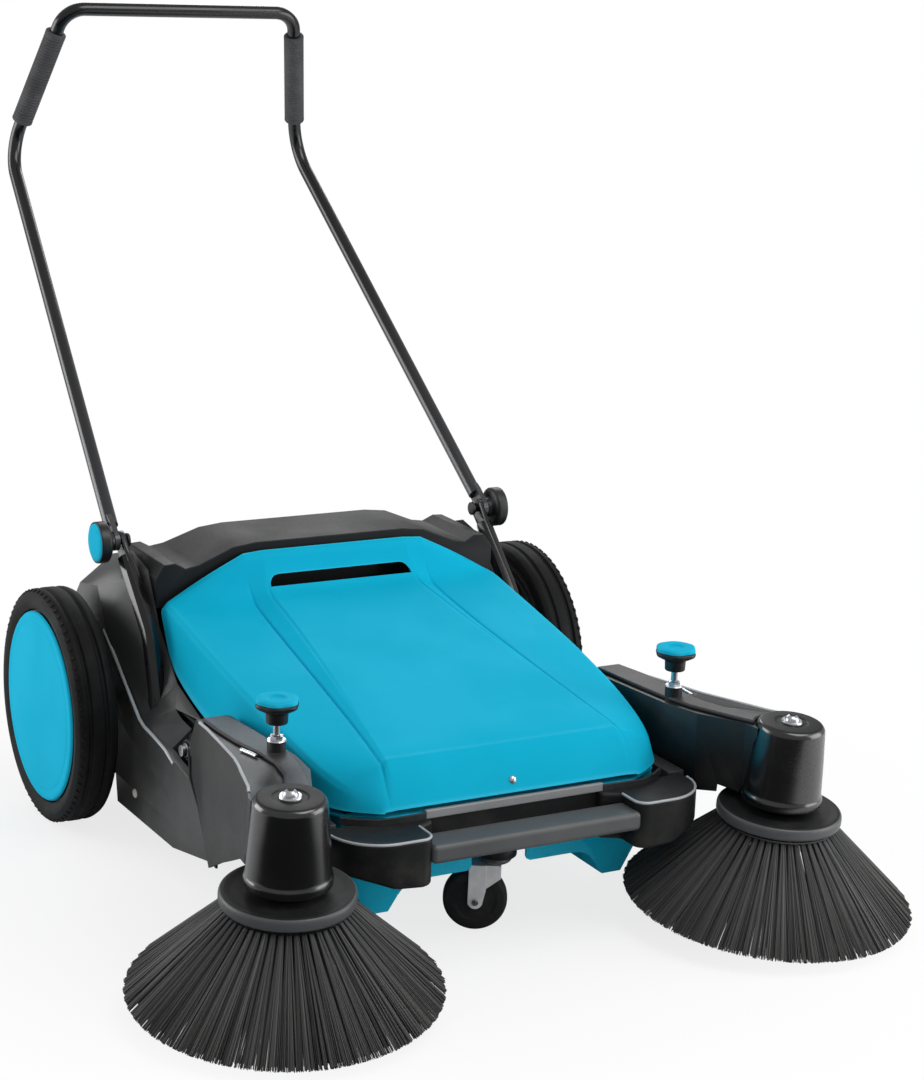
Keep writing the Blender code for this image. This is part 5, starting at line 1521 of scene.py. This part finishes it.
@dataclass
class Bumper:
    """The front bumper: two rounded blocks, the carrying bar between them, its lips and the caster seat."""

    back: float = -0.572
    front: float = -0.646
    half: float = 0.236
    corner: float = 0.060
    inner: float = 0.131
    inner_corner: float = 0.016
    root: float = 0.110
    top: float = 0.166
    bottom: float = 0.110
    relief_in: float = 0.034
    relief_rise: float = 0.016
    rim_top: float = 0.1738
    rim: tuple = (
        (0.115, -0.5905), (0.150, -0.5920), (0.173, -0.5905), (0.196, -0.5785), (0.212, -0.5660),
        (0.209, -0.5636), (0.1935, -0.5757), (0.1715, -0.5877), (0.150, -0.5890), (0.115, -0.5875),
    )

    def _front_edge(self, inset: float) -> Outline:
        """The visible edge of the right block seen from above, from its inner side to its outer one."""
        r, wide = self.inner_corner, self.corner
        inner = arc((self.inner + r, self.front + r), r - inset, 180, 90, 8)
        outer = arc((self.half - wide, self.front + wide), wide - inset, -90, 90, 18)
        return [(self.inner + inset, -0.606)] + inner + outer

    def _low(self, x: float, y: float) -> float:
        """The bottom of the right block at one place, raised at its corner to leave the side brush room."""
        middle = Vector((self.half - self.corner, self.front + self.corner))
        outward = (Vector((SideBrush.x, SideBrush.y)) - middle).normalized()
        past = (Vector((x, y)) - middle).dot(outward) - self.corner
        rise = max(0.0, self.relief_in + past) * self.relief_rise / self.relief_in
        return self.bottom + rise

    def block(self, right: Sided) -> None:
        """One rounded block, its edge bead light grey as a painted highlight, and the low rim on its top.
        """
        edge = [(self.root, self.back), (self.root, -0.596)]
        edge += self._front_edge(0.0) + [(self.half, self.back)]
        outline = [right.at(x, y, 0.0) for x, y in edge]
        shape = prism(outline, [self._low(x, y) for x, y in edge], self.top)
        self._piece(right, "bumper_block", 0.0042, 4).from_bmesh(shape)
        path = [right.at(x, y, self.top - 0.0006) for x, y in self._front_edge(0.0014)]
        shape = swept(path, 0.0016, 12)
        right.piece("bumper_edge", "chassis", ("polished",), crease=50).from_bmesh(shape)
        outline = [right.at(x, y, 0.0) for x, y in self.rim]
        shape = prism(outline, [self.top - 0.001] * len(outline), self.rim_top)
        self._piece(right, "bumper_rim", 0.0010, 2).from_bmesh(shape)

    @staticmethod
    def _piece(right: Sided, name: str, rounding: float, segments: int) -> Piece:
        """A black piece on one side that stands for the CAD bumper."""
        piece = right.piece(name, "chassis", ("matt_black",), rounding=rounding, segments=segments)
        piece.nodes = ("front_bumper",)
        return piece

    def bar(self) -> None:
        """The carrying bar, mid grey as a painted sheen, the wall behind its hand slot and the pale lip
        above the slot.
        """
        spans = (
            ("carry_bar", "bar", self.inner + 0.004, self.front, -0.604, 0.134, 0.156, 0.0058),
            ("slot_wall", "black", self.root + 0.002, -0.584, self.back, self.bottom, self.top, 0.0012),
            ("slot_lip", "lip", 0.116, -0.5900, -0.5842, 0.1655, 0.1757, 0.0016),
        )
        for name, finish, half, near, far, low, high, rounding in spans:
            outline = [at(-half, near, 0.0), at(half, near, 0.0), at(half, far, 0.0), at(-half, far, 0.0)]
            shape = prism(outline, [low] * 4, high)
            Piece(name, "chassis", (finish,), ("front_bumper",), rounding, 4).from_bmesh(shape)

    def caster_seat(self) -> None:
        """The round boss that the caster's plate is screwed to."""
        place = Matrix.Translation(at(0.0, SWIVEL_Y, 0.0))
        profile = [(0.0, 0.0915), (0.0245, 0.0915), (0.0245, 0.0985), (0.0225, 0.1060)]
        profile += [(0.0225, 0.1330), (0.0, 0.1330)]
        shape = spun(softened(profile, 0.0022), 48, place)
        Piece("caster_seat", "chassis", ("black",), ("front_bumper",), crease=45).from_bmesh(shape)

    def build(self) -> None:
        """Builds the bumper."""
        for side in Side:
            self.block(Sided(side))
        self.bar()
        self.caster_seat()


KEPT_SHAPES = (  # name, body, finish, CAD node, rounding, segments, crease; * is left and right
    ("hopper_body", "hopper", "blue", "hopper_tub", 0.0040, 4, 20),
    ("housing", "chassis", "black", "chassis_housing", 0.0009),
    ("rear_moulding", "chassis", "matt_black", "rear_cover", 0.0022, 3, 20),
    # the side frames take the lighter frame finish, painted light on their outer faces
    ("frame_*", "chassis", "frame", "side_frame_*", 0.0015, 3),
    ("skirt_*", "chassis", "soft_rubber", "side_flap_*", 0.0005),
    ("rear_skirt", "chassis", "soft_rubber", "rear_flap", 0.0005),
    ("bush_*", "chassis", "nylon", "axle_bush_*", 0.0005),
    ("post_*", "chassis", "enamel", "handle_post_*", 0.0006),
    ("belt", "chassis", "soft_rubber", "drive_belt", 0.0004),
    ("bracket_*", "chassis", "zinc", "height_bracket_*", 0.0004),
    ("axle", "axle", "steel", "wheel_axle", 0.0006),
    ("gear", "axle", "nylon", "drive_gear", 0.0003),
    ("axle_wheel", "axle", "nylon", "axle_pulley", 0.0004),
    ("brush_shaft", "main_brush", "steel", "main_brush_shaft", 0.0006),
    ("pinion", "main_brush", "nylon", "brush_pinion", 0.0003),
    ("arm_shaft", "cross_drive", "steel", "cross_shaft", 0.0004),
    ("arm_shaft_wheel", "cross_drive", "nylon", "cross_pulley", 0.0004),
    ("arm_*", "*_arm", "black", "arm_housing_*", 0.0030, 4, 12),
    ("round_belt_*", "*_arm", "soft_rubber", "arm_belt_*", 0.0, 2, 60),
    ("spindle_*", "*_side_brush", "steel", "brush_spindle_*", 0.0004),
    ("caster_pin", "caster_swivel", "zinc", "caster_axle", 0.0006),
)


def kept_shapes() -> Iterable[Piece]:
    """The pieces that keep their CAD shape, with rounded edges."""
    for name, body, finish, node, *look in KEPT_SHAPES:
        for word in [side.word for side in Side] if "*" in name else [""]:
            own_name, own_body, own_node = (text.replace("*", word) for text in (name, body, node))
            yield Piece(own_name, own_body, (finish,), (own_node,), *look)


@dataclass
class MainBrush:
    """The main brush: its roller core and eight spiral rows of strands."""

    y: float = -0.140
    z: float = 0.116
    core_radius: float = 0.045
    half: float = 0.205
    bore: float = 0.0083
    strands: StrandSet = field(
        default_factory=lambda: StrandSet(
            Lay.SPIRAL, 8 * 34, 14, 0.0445, 0.1065, 0.0, 0.0, 0.10, 0.003, 0.0006,
            length=0.400, rows=8, turns=0.35, seed=31,
        )
    )

    def build(self) -> None:
        """Builds the roller with its strands as one piece."""
        place = axis_frame(at(0.0, self.y, self.z), X_AXIS, Z_AXIS)
        half, r, bore = self.half, self.core_radius, self.bore
        profile = [(bore, half), (r - 0.002, half), (r, half - 0.002), (r, -half + 0.002)]
        profile += [(r - 0.002, -half), (bore, -half)]
        shape = spun(profile, 64, place)
        grown = placed(self.strands.mesh("roller_strands"), place)
        Piece("roller_core", "main_brush", ("black",), ("main_brush_roller",)).from_bmesh(shape)
        piece = Piece("roller_strands", "main_brush", ("bristle",), ("main_brush_roller",), crease=180)
        piece.from_mesh(grown)


@dataclass
class Handle:
    """The push handle: one bent tube, two ribbed grips and the clamp knobs at its hinges."""

    hinge: Point = (0.2657, -0.017, 0.362)
    bend: Point = (0.2215, 0.5196, 0.800)
    top: Point = (0.172, 0.424, 1.003)
    tube: float = 0.0093
    grip: float = 0.0145
    bend_radius: float = 0.060
    top_radius: float = 0.035
    spare_low: float = 0.0039
    spare_high: float = 0.0087
    rib_pitch: float = 0.0042
    plain_end: float = 0.006
    grip_gap: float = 0.0003
    tube_start: float = 0.024
    bend_steps: int = 14
    lug_half: float = 0.00325
    lug_radius: float = 0.0122
    lug_reach: float = 0.036
    knob_gap: float = 0.0003
    knob_radius: float = 0.0265
    bolt_end: float = -0.0219

    def _corner(self, before: Vector, corner: Vector, after: Vector, radius: float) -> list[Vector]:
        """The bend of the tube at one corner."""
        back, ahead = (before - corner).normalized(), (after - corner).normalized()
        half = back.angle(ahead) / 2
        reach = radius / math.tan(half)
        middle = corner + (back + ahead).normalized() * (radius / math.sin(half))
        first = (corner + back * reach - middle).normalized()
        last = (corner + ahead * reach - middle).normalized()
        steps = self.bend_steps
        return [middle + first.slerp(last, i / steps) * radius for i in range(steps + 1)]

    def tube_piece(self) -> None:
        """The tube with its two hinge lugs."""
        hinge, bend, top = (at(*p) for p in (self.hinge, self.bend, self.top))
        heading = (bend - hinge).normalized()
        start = hinge + heading * self.tube_start
        flip = Matrix.Diagonal((-1.0, 1.0, 1.0))
        corners = [flip @ p for p in (start, bend, top)] + [top, bend, start]
        radii = (self.bend_radius, self.top_radius, self.top_radius, self.bend_radius)
        path = [corners[0]]
        for before, corner, after, radius in zip(corners, corners[1:], corners[2:], radii):
            path += self._corner(before, corner, after, radius)
        path.append(corners[-1])
        shape = swept(path, self.tube, 32)
        for side in (Sided(Side.LEFT), Sided(Side.RIGHT)):
            self._lug(shape, side.at(*self.hinge), Vector((0.0, heading.y, heading.z)))
        Piece("push_handle", "handle", ("enamel",), ("handle_bar",), crease=40).from_bmesh(shape)

    def _lug(self, shape: Shape, hinge: Vector, heading: Vector) -> None:
        """A flattened end of the tube round the hinge bolt."""
        forward, reach = heading.normalized(), self.lug_reach
        across = X_AXIS.cross(forward)
        flat = arc((0.0, 0.0), self.lug_radius, 90, 180, 12)
        flat += [(reach * 0.7, -0.0115), (reach, -self.tube), (reach, self.tube), (reach * 0.7, 0.0115)]
        outline = [forward * u + across * v for u, v in flat]
        walled(shape, *([hinge + p + X_AXIS * x for p in outline] for x in (-self.lug_half, self.lug_half)))

    def grips(self) -> None:
        """The ribbed grips on the tube's upper legs."""
        for side in Side:
            start, bend, top = (Sided(side).at(*p) for p in (self.hinge, self.bend, self.top))
            run = (top - bend).normalized()
            low_angle = (start - bend).angle(top - bend) / 2
            high_angle = (bend - top).angle(Vector((-side.sign, 0.0, 0.0))) / 2
            low = bend + run * (self.bend_radius / math.tan(low_angle) + self.spare_low)
            high = top - run * (self.top_radius / math.tan(high_angle) + self.spare_high)
            half = (high - low).length / 2
            place = axis_frame((low + high) / 2, run, X_AXIS)
            bore, r = self.tube + self.grip_gap, self.grip
            profile = [(bore, -half), (r - 0.0010, -half), (r, -half + 0.0012), (r, -half + 0.0050)]
            ribs = int((2 * half - 2 * self.plain_end) / self.rib_pitch)
            for i in range(ribs):
                low_z = -half + self.plain_end + i * self.rib_pitch
                profile += [(r - 0.0009, low_z + 0.0006), (r - 0.0009, low_z + 0.0012)]
                profile += [(r - 0.0001, low_z + 0.0020), (r - 0.0001, low_z + 0.0038)]
            profile += [(r, half - 0.0050), (r, half - 0.0012), (r - 0.0010, half), (bore, half)]
            shape = spun(profile, 40, place)
            name, node = f"grip_{side.word}", f"handle_grip_{side.word}"
            Piece(name, "handle", ("grip",), (node,), crease=60).from_bmesh(shape)

    def knobs(self) -> None:
        """The clamp knobs: black skirt, blue cap, bolt through both lugs."""
        inner = self.hinge[0] + self.lug_half + self.knob_gap
        r, end = self.knob_radius, self.bolt_end
        skirt = [(0.0, 0.0160), (r - 0.0018, 0.0160), (r - 0.0015, 0.0226), (r - 0.0004, 0.0226)]
        skirt += [(r, 0.0212), (r, 0.0100), (r - 0.004, 0.0070), (0.0130, 0.0060), (0.0120, 0.0)]
        skirt += [(0.0050, 0.0), (0.0050, end + 0.004), (0.0090, end + 0.004), (0.0090, end), (0.0, end)]
        cap = [(0.0, 0.0255), (0.008, 0.0254), (r - 0.006, 0.0249), (r - 0.0020, 0.0232)]
        cap += [(r - 0.0020, 0.0163), (0.0, 0.0163)]
        for right in (Sided(side) for side in Side):
            heading = Vector((right.side.sign, 0.0, 0.0))
            place = axis_frame(right.at(inner, self.hinge[1], self.hinge[2]), heading, Z_AXIS)
            for name, finish, node, profile, rounding in (
                ("clamp", "black", "handle_knob", skirt, 0.0012),
                ("clamp_cap", "blue", "handle_knob_cap", cap, 0.0020),
            ):
                shape = spun(softened(profile, rounding), 60, place)
                right.piece(name, "handle_knob", (finish,), node, crease=45).from_bmesh(shape)

    def build(self) -> None:
        """Builds the handle."""
        self.tube_piece()
        self.grips()
        self.knobs()


@dataclass
class Caster:
    """The front caster: swivel race, pressed fork, and a wheel with a grey-black tread."""

    radius: float = 0.0375
    half: float = 0.012
    steps: int = 72
    heading: float = 60.9
    leg_gap: float = 0.0140
    sheet: float = 0.0024
    leg_back: float = -0.0082
    leg_front: float = 0.0120
    web_front: float = 0.0290
    fork_top: float = 0.0825
    eye: float = 0.0088
    crown: float = 0.0030
    web_sheet: float = 0.7
    web_inset: float = 0.0008

    def _axes(self) -> tuple[Vector, Vector]:
        """Across the wheel along its pin, and ahead from the pin towards the swivel."""
        turn = math.radians(self.heading)
        return Vector((math.cos(turn), math.sin(turn), 0.0)), Vector((math.sin(turn), -math.cos(turn), 0.0))

    def _pin(self) -> Vector:
        """The middle of the wheel's pin."""
        low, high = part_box("caster_wheel")
        return (low + high) / 2

    def _sheet(self, shape: Shape, outline: Outline, middle: float, thick: float) -> None:
        """Adds a pressed plate that stands along the wheel.

        Args:
            shape: the mesh that it is added to.
            outline: (ahead of the pin, height) points.
            middle: where its middle lies across the wheel.
            thick: its thickness.
        """
        across, ahead = self._axes()
        foot = self._pin()
        foot.z = 0.0
        bases = (foot + across * (middle + side * thick) for side in (-0.5, 0.5))
        ends = ([base + ahead * u + Z_AXIS * z for u, z in outline] for base in bases)
        walled(shape, *ends)

    def fork(self) -> None:
        """The fork: two legs with a rounded eye round the pin, a stiffening web ahead, and the crown."""
        pin_z, top = self._pin().z, self.fork_top
        leg = [(self.leg_back, top)] + arc((0.0, pin_z), self.eye, 180, 180, 12)
        leg += [(self.leg_front, pin_z + 0.014), (self.leg_front, top)]
        root = self.leg_front - 0.001
        web = [(root, pin_z + 0.015), (self.web_front, pin_z + 0.029), (self.web_front, top), (root, top)]
        shape = bmesh.new()
        for side in (-1, 1):
            middle = side * (self.leg_gap + self.sheet / 2)
            self._sheet(shape, leg, middle, self.sheet)
            self._sheet(shape, web, middle - self.web_inset * side, self.sheet * self.web_sheet)
        low = top - self.crown
        crown = [(self.leg_back, low), (self.web_front, low), (self.web_front, top), (self.leg_back, top)]
        self._sheet(shape, crown, 0.0, 2 * self.leg_gap + self.sheet)
        Piece("fork", "caster_swivel", ("plate",), ("caster_fork",), 0.0007, 3).from_bmesh(shape)

    def race(self) -> None:
        """The swivel race between the caster's seat and the fork."""
        place = Matrix.Translation(at(0.0, SWIVEL_Y, 0.0))
        profile = [(0.0, 0.0832), (0.0150, 0.0832), (0.0175, 0.0850), (0.0195, 0.0880), (0.0195, 0.0912)]
        shape = spun(softened(profile + [(0.0, 0.0912)], 0.0010), 40, place)
        Piece("swivel_race", "chassis", ("steel",), ("caster_plate",), crease=45).from_bmesh(shape)

    def wheel(self) -> None:
        """The wheel."""
        place = axis_frame(self._pin(), self._axes()[0], Z_AXIS)
        w, r = self.half, self.radius
        right = [(0.0042, w), (0.0095, w), (0.0105, w - 0.0030), (0.0230, w - 0.0022), (0.0250, w - 0.0008)]
        right += [(r - 0.0040, w - 0.0008), (r - 0.0010, w - 0.0030)]
        right += [(r - 0.0001, w - 0.0060), (r, w - 0.0090)]
        profile = right + [(radius, -height) for radius, height in reversed(right)]
        shape = spun(softened(profile, 0.0008, 2), self.steps, place)
        piece = Piece("caster_roller", "caster_roller", ("soft_rubber",), ("caster_wheel",), crease=45)
        piece.from_bmesh(shape)

    def build(self) -> None:
        """Builds the caster as it stands in the frame."""
        self.race()
        self.fork()
        self.wheel()


class Head(Enum):
    """The heads that the machine's screws have."""

    HEX = "hex"
    PAN = "pan"
    WASHER = "washer"
    PLUG = "plug"


@dataclass(frozen=True)
class Fastener:
    """One screw, nut, washer or rivet: where it sits, which way it points and its size."""

    spot: Point
    axis: Point
    head: Head
    radius: float
    tall: float


@dataclass
class Hardware:
    """The screws, nuts, washers and rivets of one body, copied onto points by Geometry Nodes."""

    name: str
    body: str
    finish: str
    fasteners: Sequence[Fastener]

    def _head(self, tree: Builder, head: Head) -> Signal:
        """The shape of one head, 1 in radius and 1 tall, standing on the origin."""
        if head is Head.HEX:
            parts = []
            for kind, rise, inputs in (
                ("Cylinder", 0.40, {"Vertices": 6, "Radius": 1.0, "Depth": 0.7}),
                ("Cylinder", 0.05, {"Vertices": 24, "Radius": 1.25, "Depth": 0.16}),
                ("Cone", 0.74, {"Vertices": 24, "Radius Top": 0.55, "Radius Bottom": 0.86, "Depth": 0.22}),
            ):
                part = tree.node(f"GeometryNodeMesh{kind}", {"fill_type": "NGON"}, inputs)
                parts.append(self._raised(tree, part, rise))
            return tree.node("GeometryNodeJoinGeometry", None, {"Geometry": parts})
        if head is Head.PAN:
            dome = tree.node("GeometryNodeMeshUVSphere", None, {"Segments": 24, "Rings": 12, "Radius": 1.0})
            x, y, z = tree.split(tree.node("GeometryNodeInputPosition"))
            return tree.moved(dome, tree.vector(x, y, (z > 0.0) * z - (z < 0.0) * 0.15))
        rise = 0.5 if head is Head.WASHER else 0.9
        inputs = {"Vertices": 28, "Radius Top": 0.92, "Radius Bottom": 1.0, "Depth": rise}
        cone = tree.node("GeometryNodeMeshCone", {"fill_type": "NGON"}, inputs)
        return self._raised(tree, cone, 0.0)

    @staticmethod
    def _raised(tree: Builder, shape: Signal, rise: float) -> Signal:
        """The shape moved up."""
        inputs = {"Geometry": shape, "Translation": (0.0, 0.0, rise)}
        return tree.node("GeometryNodeTransform", None, inputs)

    def build(self) -> None:
        """Copies each kind of head onto its points and joins the result."""
        shape = bmesh.new()
        for head in Head:
            chosen = [f for f in self.fasteners if f.head is head]
            if chosen:
                shape.from_mesh(self._copies(head, chosen))
        Piece(self.name, self.body, (self.finish,), crease=35).from_bmesh(shape)

    def _copies(self, head: Head, chosen: Sequence[Fastener]) -> bpy.types.Mesh:
        """One kind of head on its points, each turned and scaled by what its point stores."""
        tree = Builder(f"{self.name}_{head.value}")
        scale = tree.size("Scale", 1.0)
        points = point_mesh(self.name, [at(*f.spot) for f in chosen])
        for label, values in (
            ("axis", [f.axis for f in chosen]),
            ("measure", [(f.radius, f.radius, f.tall) for f in chosen]),
        ):
            layer = points.attributes.new(label, "FLOAT_VECTOR", "POINT")
            layer.data.foreach_set("vector", [part for value in values for part in value])
        settings = {"data_type": "FLOAT_VECTOR"}
        axis = tree.node("GeometryNodeInputNamedAttribute", settings, {"Name": "axis"})
        measure = tree.node("GeometryNodeInputNamedAttribute", settings, {"Name": "measure"})
        size = tree.node("ShaderNodeVectorMath", {"operation": "SCALE"}, {0: measure, "Scale": scale})
        turn = tree.node("FunctionNodeAlignRotationToVector", {"axis": "Z"}, {"Vector": axis})
        cloud = tree.node("GeometryNodeMeshToPoints", None, {"Mesh": tree.given()})
        inputs = {"Points": cloud, "Instance": self._head(tree, head), "Rotation": turn, "Scale": size}
        tree.finish(tree.node("GeometryNodeInstanceOnPoints", None, inputs), Piece.palette[self.finish])
        return tree.run(points)


def hardware_sets() -> list[Hardware]:
    """Every set of fasteners on the machine, one for each body and finish."""
    sets = []
    up = tuple(Z_AXIS)
    for side in Side:
        s, word, brush = side.sign, side.word, SideBrush(side)
        lean = brush.axis().normalized()
        top = Vector((s * brush.x, brush.y, brush.z)) + lean * (brush.cup_base + brush.cup_height - 0.0002)
        x, y = s * KNOB_XY[0], KNOB_XY[1]
        arm = [
            Fastener(tuple(top), tuple(lean), Head.WASHER, 0.0125, 0.0030),
            Fastener(tuple(top + lean * 0.0012), tuple(lean), Head.PAN, 0.0088, 0.0070),
        ]
        screws = [Fastener((s * 0.2842, -0.137, 0.0675), (s, 0.0, 0.0), Head.PAN, 0.0058, 0.0028)]
        collar = [
            Fastener((x, y, 0.2520), up, Head.WASHER, 0.0112, 0.0024),
            Fastener((x, y, 0.2526), up, Head.HEX, 0.0078, 0.0066),
        ]
        sockets = [Fastener(tuple(top + lean * 0.0076), tuple(lean), Head.PLUG, 0.0036, 0.0014)]
        sets += [
            Hardware(f"arm_bolts_{word}", f"{word}_arm", "zinc", arm),
            Hardware(f"frame_screws_{word}", "chassis", "nylon", screws),
            Hardware(f"rod_nut_{word}", f"{word}_arm", "zinc", collar),
            Hardware(f"bolt_socket_{word}", f"{word}_arm", "soft_rubber", sockets),
        ]
    front = [Fastener((0.0, -0.5795, 0.1925), (0.0, -0.92, 0.38), Head.PAN, 0.0050, 0.0030)]
    return sets + [Hardware("lid_plug", "hopper", "zinc", front)]


@dataclass
class Studio:
    """Pale floor and surroundings, soft lamps, and the camera at the photograph's angle."""

    lens: float = 80.06
    sensor: float = 36.0
    heading: float = 29.103
    dip: float = 14.058
    roll: float = -2.100
    eye: Point = (-1.313, -2.7994, 1.1162)
    sky: float = 0.40
    span: float = 14.0
    floor_gap: float = 0.0004

    def camera(self) -> None:
        """The camera, solved from points that the photograph shares with the machine."""
        psi, tilt, turn = (math.radians(a) for a in (self.heading, self.dip, self.roll))
        ahead = Vector((math.sin(psi) * math.cos(tilt), math.cos(psi) * math.cos(tilt), -math.sin(tilt)))
        right = Vector((math.cos(psi), -math.sin(psi), 0.0))
        down = ahead.cross(right)
        across = right * math.cos(turn) + down * math.sin(turn)
        below = down * math.cos(turn) - right * math.sin(turn)
        data = bpy.data.cameras.new("camera")
        data.lens, data.sensor_width = self.lens, self.sensor
        data.clip_start, data.clip_end = 0.1, 60.0
        camera = linked("camera", data)
        axes = Matrix((across, -below, -ahead)).transposed().to_4x4()
        camera.matrix_world = Matrix.Translation(at(*self.eye)) @ axes
        bpy.context.scene.camera = camera

    def floor(self) -> None:
        """A pale floor that shows as white to the camera away from the machine's shadow."""
        mesh = bpy.data.meshes.new("floor")
        corners = [(x * self.span, y * self.span, 0) for x, y in ((-1, -1), (1, -1), (1, 1), (-1, 1))]
        mesh.from_pydata(corners, [], [(0, 1, 2, 3)])
        floor = linked("floor", mesh)
        floor.location.z = -self.floor_gap
        surface = Surface("pale_floor")
        cloud = surface.noise(0.8, 3.0)
        path = surface.node("ShaderNodeLightPath")
        pale = surface.mix(cloud, (0.92,) * 3, (0.95,) * 3)
        # in front of the machine the floor is black to glossy rays: a painted dark reflection on its front
        # faces
        dark_reflection = self._front_wedge(surface) * path.out("Is Glossy Ray")
        unseen = surface.mix(dark_reflection, (0.84,) * 3, (0.03,) * 3)
        colour = surface.mix(path.out("Is Camera Ray"), unseen, pale)
        material = surface.finish(Base_Color=colour, Roughness=0.9, Specular_IOR_Level=0.1)
        self._fade_to_white(surface)
        mesh.materials.append(material)
        floor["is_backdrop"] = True

    @staticmethod
    def _front_wedge(surface: Surface) -> Signal:
        """1 in front of the machine, where the floor is black to glossy rays: a painted dark reflection
        that keeps glare off its front faces.
        """
        x, y, _ = surface.split(surface.place)
        ahead = x * -0.486 - y * 0.874
        aside = x * 0.874 - y * 0.486
        return (ahead - ((aside * aside) ** 0.5) * 0.9).step(-0.10, 0.35)

    @staticmethod
    def _fade_to_white(surface: Surface) -> None:
        """Lets the floor run into the white background as it leaves the machine."""
        x, y, _ = surface.split(surface.place)
        away = ((x * x + y * y) ** 0.5).step(0.40, 1.00) * 0.22 + 0.78
        seen = surface.node("ShaderNodeLightPath").out("Is Camera Ray")
        white = surface.node("ShaderNodeEmission", None, {"Color": WHITE, "Strength": 1.0})
        mixed = surface.node("ShaderNodeMixShader", None, {0: away * seen, 1: surface.body, 2: white})
        output = next(n for n in surface.tree.nodes if n.type == "OUTPUT_MATERIAL")
        surface.feed(output.inputs["Surface"], mixed)

    def lamp(self, name: str, spot: Point, target: Point, size: tuple[float, float], power: float) -> None:
        """One soft box.

        Args:
            name: the lamp's name.
            spot: where it hangs.
            target: what it faces.
            size: its width and height.
            power: its power in watts.
        """
        data = bpy.data.lights.new(name, "AREA")
        data.shape, data.energy = "RECTANGLE", power
        data.size, data.size_y = size
        lamp = linked(name, data)
        lamp.location = spot
        heading = Vector(target) - Vector(spot)
        lamp.rotation_mode = "QUATERNION"
        lamp.rotation_quaternion = heading.to_track_quat("-Z", "Y")

    def sky_light(self) -> None:
        """Even light all round, with a white background for the camera and for reflections."""
        world = bpy.data.worlds.new("studio")
        bpy.context.scene.world = world
        world.use_nodes = True
        graph = Graph(world.node_tree)
        graph.tree.nodes.clear()
        path = graph.node("ShaderNodeLightPath")
        seen = (path.out("Is Camera Ray") + path.out("Is Transmission Ray")).clamped()
        strength = seen * (1.0 - self.sky) + self.sky
        back = graph.node("ShaderNodeBackground", None, {"Color": WHITE, "Strength": strength})
        graph.node("ShaderNodeOutputWorld", None, {"Surface": back})

    def build(self) -> None:
        """Sets the stage."""
        self.camera()
        self.floor()
        self.sky_light()
        self.lamp("overhead", (0.7, -1.3, 2.5), (0.0, -0.1, 0.3), (1.6, 1.6), 24.0)
        self.lamp("left_box", (-2.16, 1.45, 0.95), (0.0, 0.0, 0.3), (1.8, 1.6), 35.0)
        self.lamp("right_box", (2.13, -1.49, 0.95), (0.0, -0.1, 0.3), (1.8, 1.6), 30.0)
        self.lamp("back_box", (1.26, 2.40, 1.84), (0.0, 0.0, 0.4), (2.0, 1.1), 22.0)
        bpy.context.scene.view_settings.view_transform = "Standard"


def write_sizes() -> None:
    """Gathers the CAD box and the visual model's box as plain lists."""
    boxes = {"cad": CAD_BOX, "visual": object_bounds()}
    plain = {name: [list(low), list(high)] for name, (low, high) in boxes.items()}


def main() -> None:
    """Builds the machine piece by piece, then the stage."""
    logging.basicConfig(level=logging.INFO, format="%(name)s: %(message)s")
    Piece.palette = Palette(Finishes())
    for side in Side:
        Wheel(side).build()
        SideBrush(side).build()
    MainBrush().build()
    Hood().build()
    for side in Side:
        ArmTop(side).build()
    for piece in kept_shapes():
        piece.from_cad()
    for side in Side:
        Apron(side).build()
    Bumper().build()
    Handle().build()
    Caster().build()
    for hardware in hardware_sets():
        hardware.build()
    Studio().build()
    write_sizes()


if __name__ == "__main__":
    main()
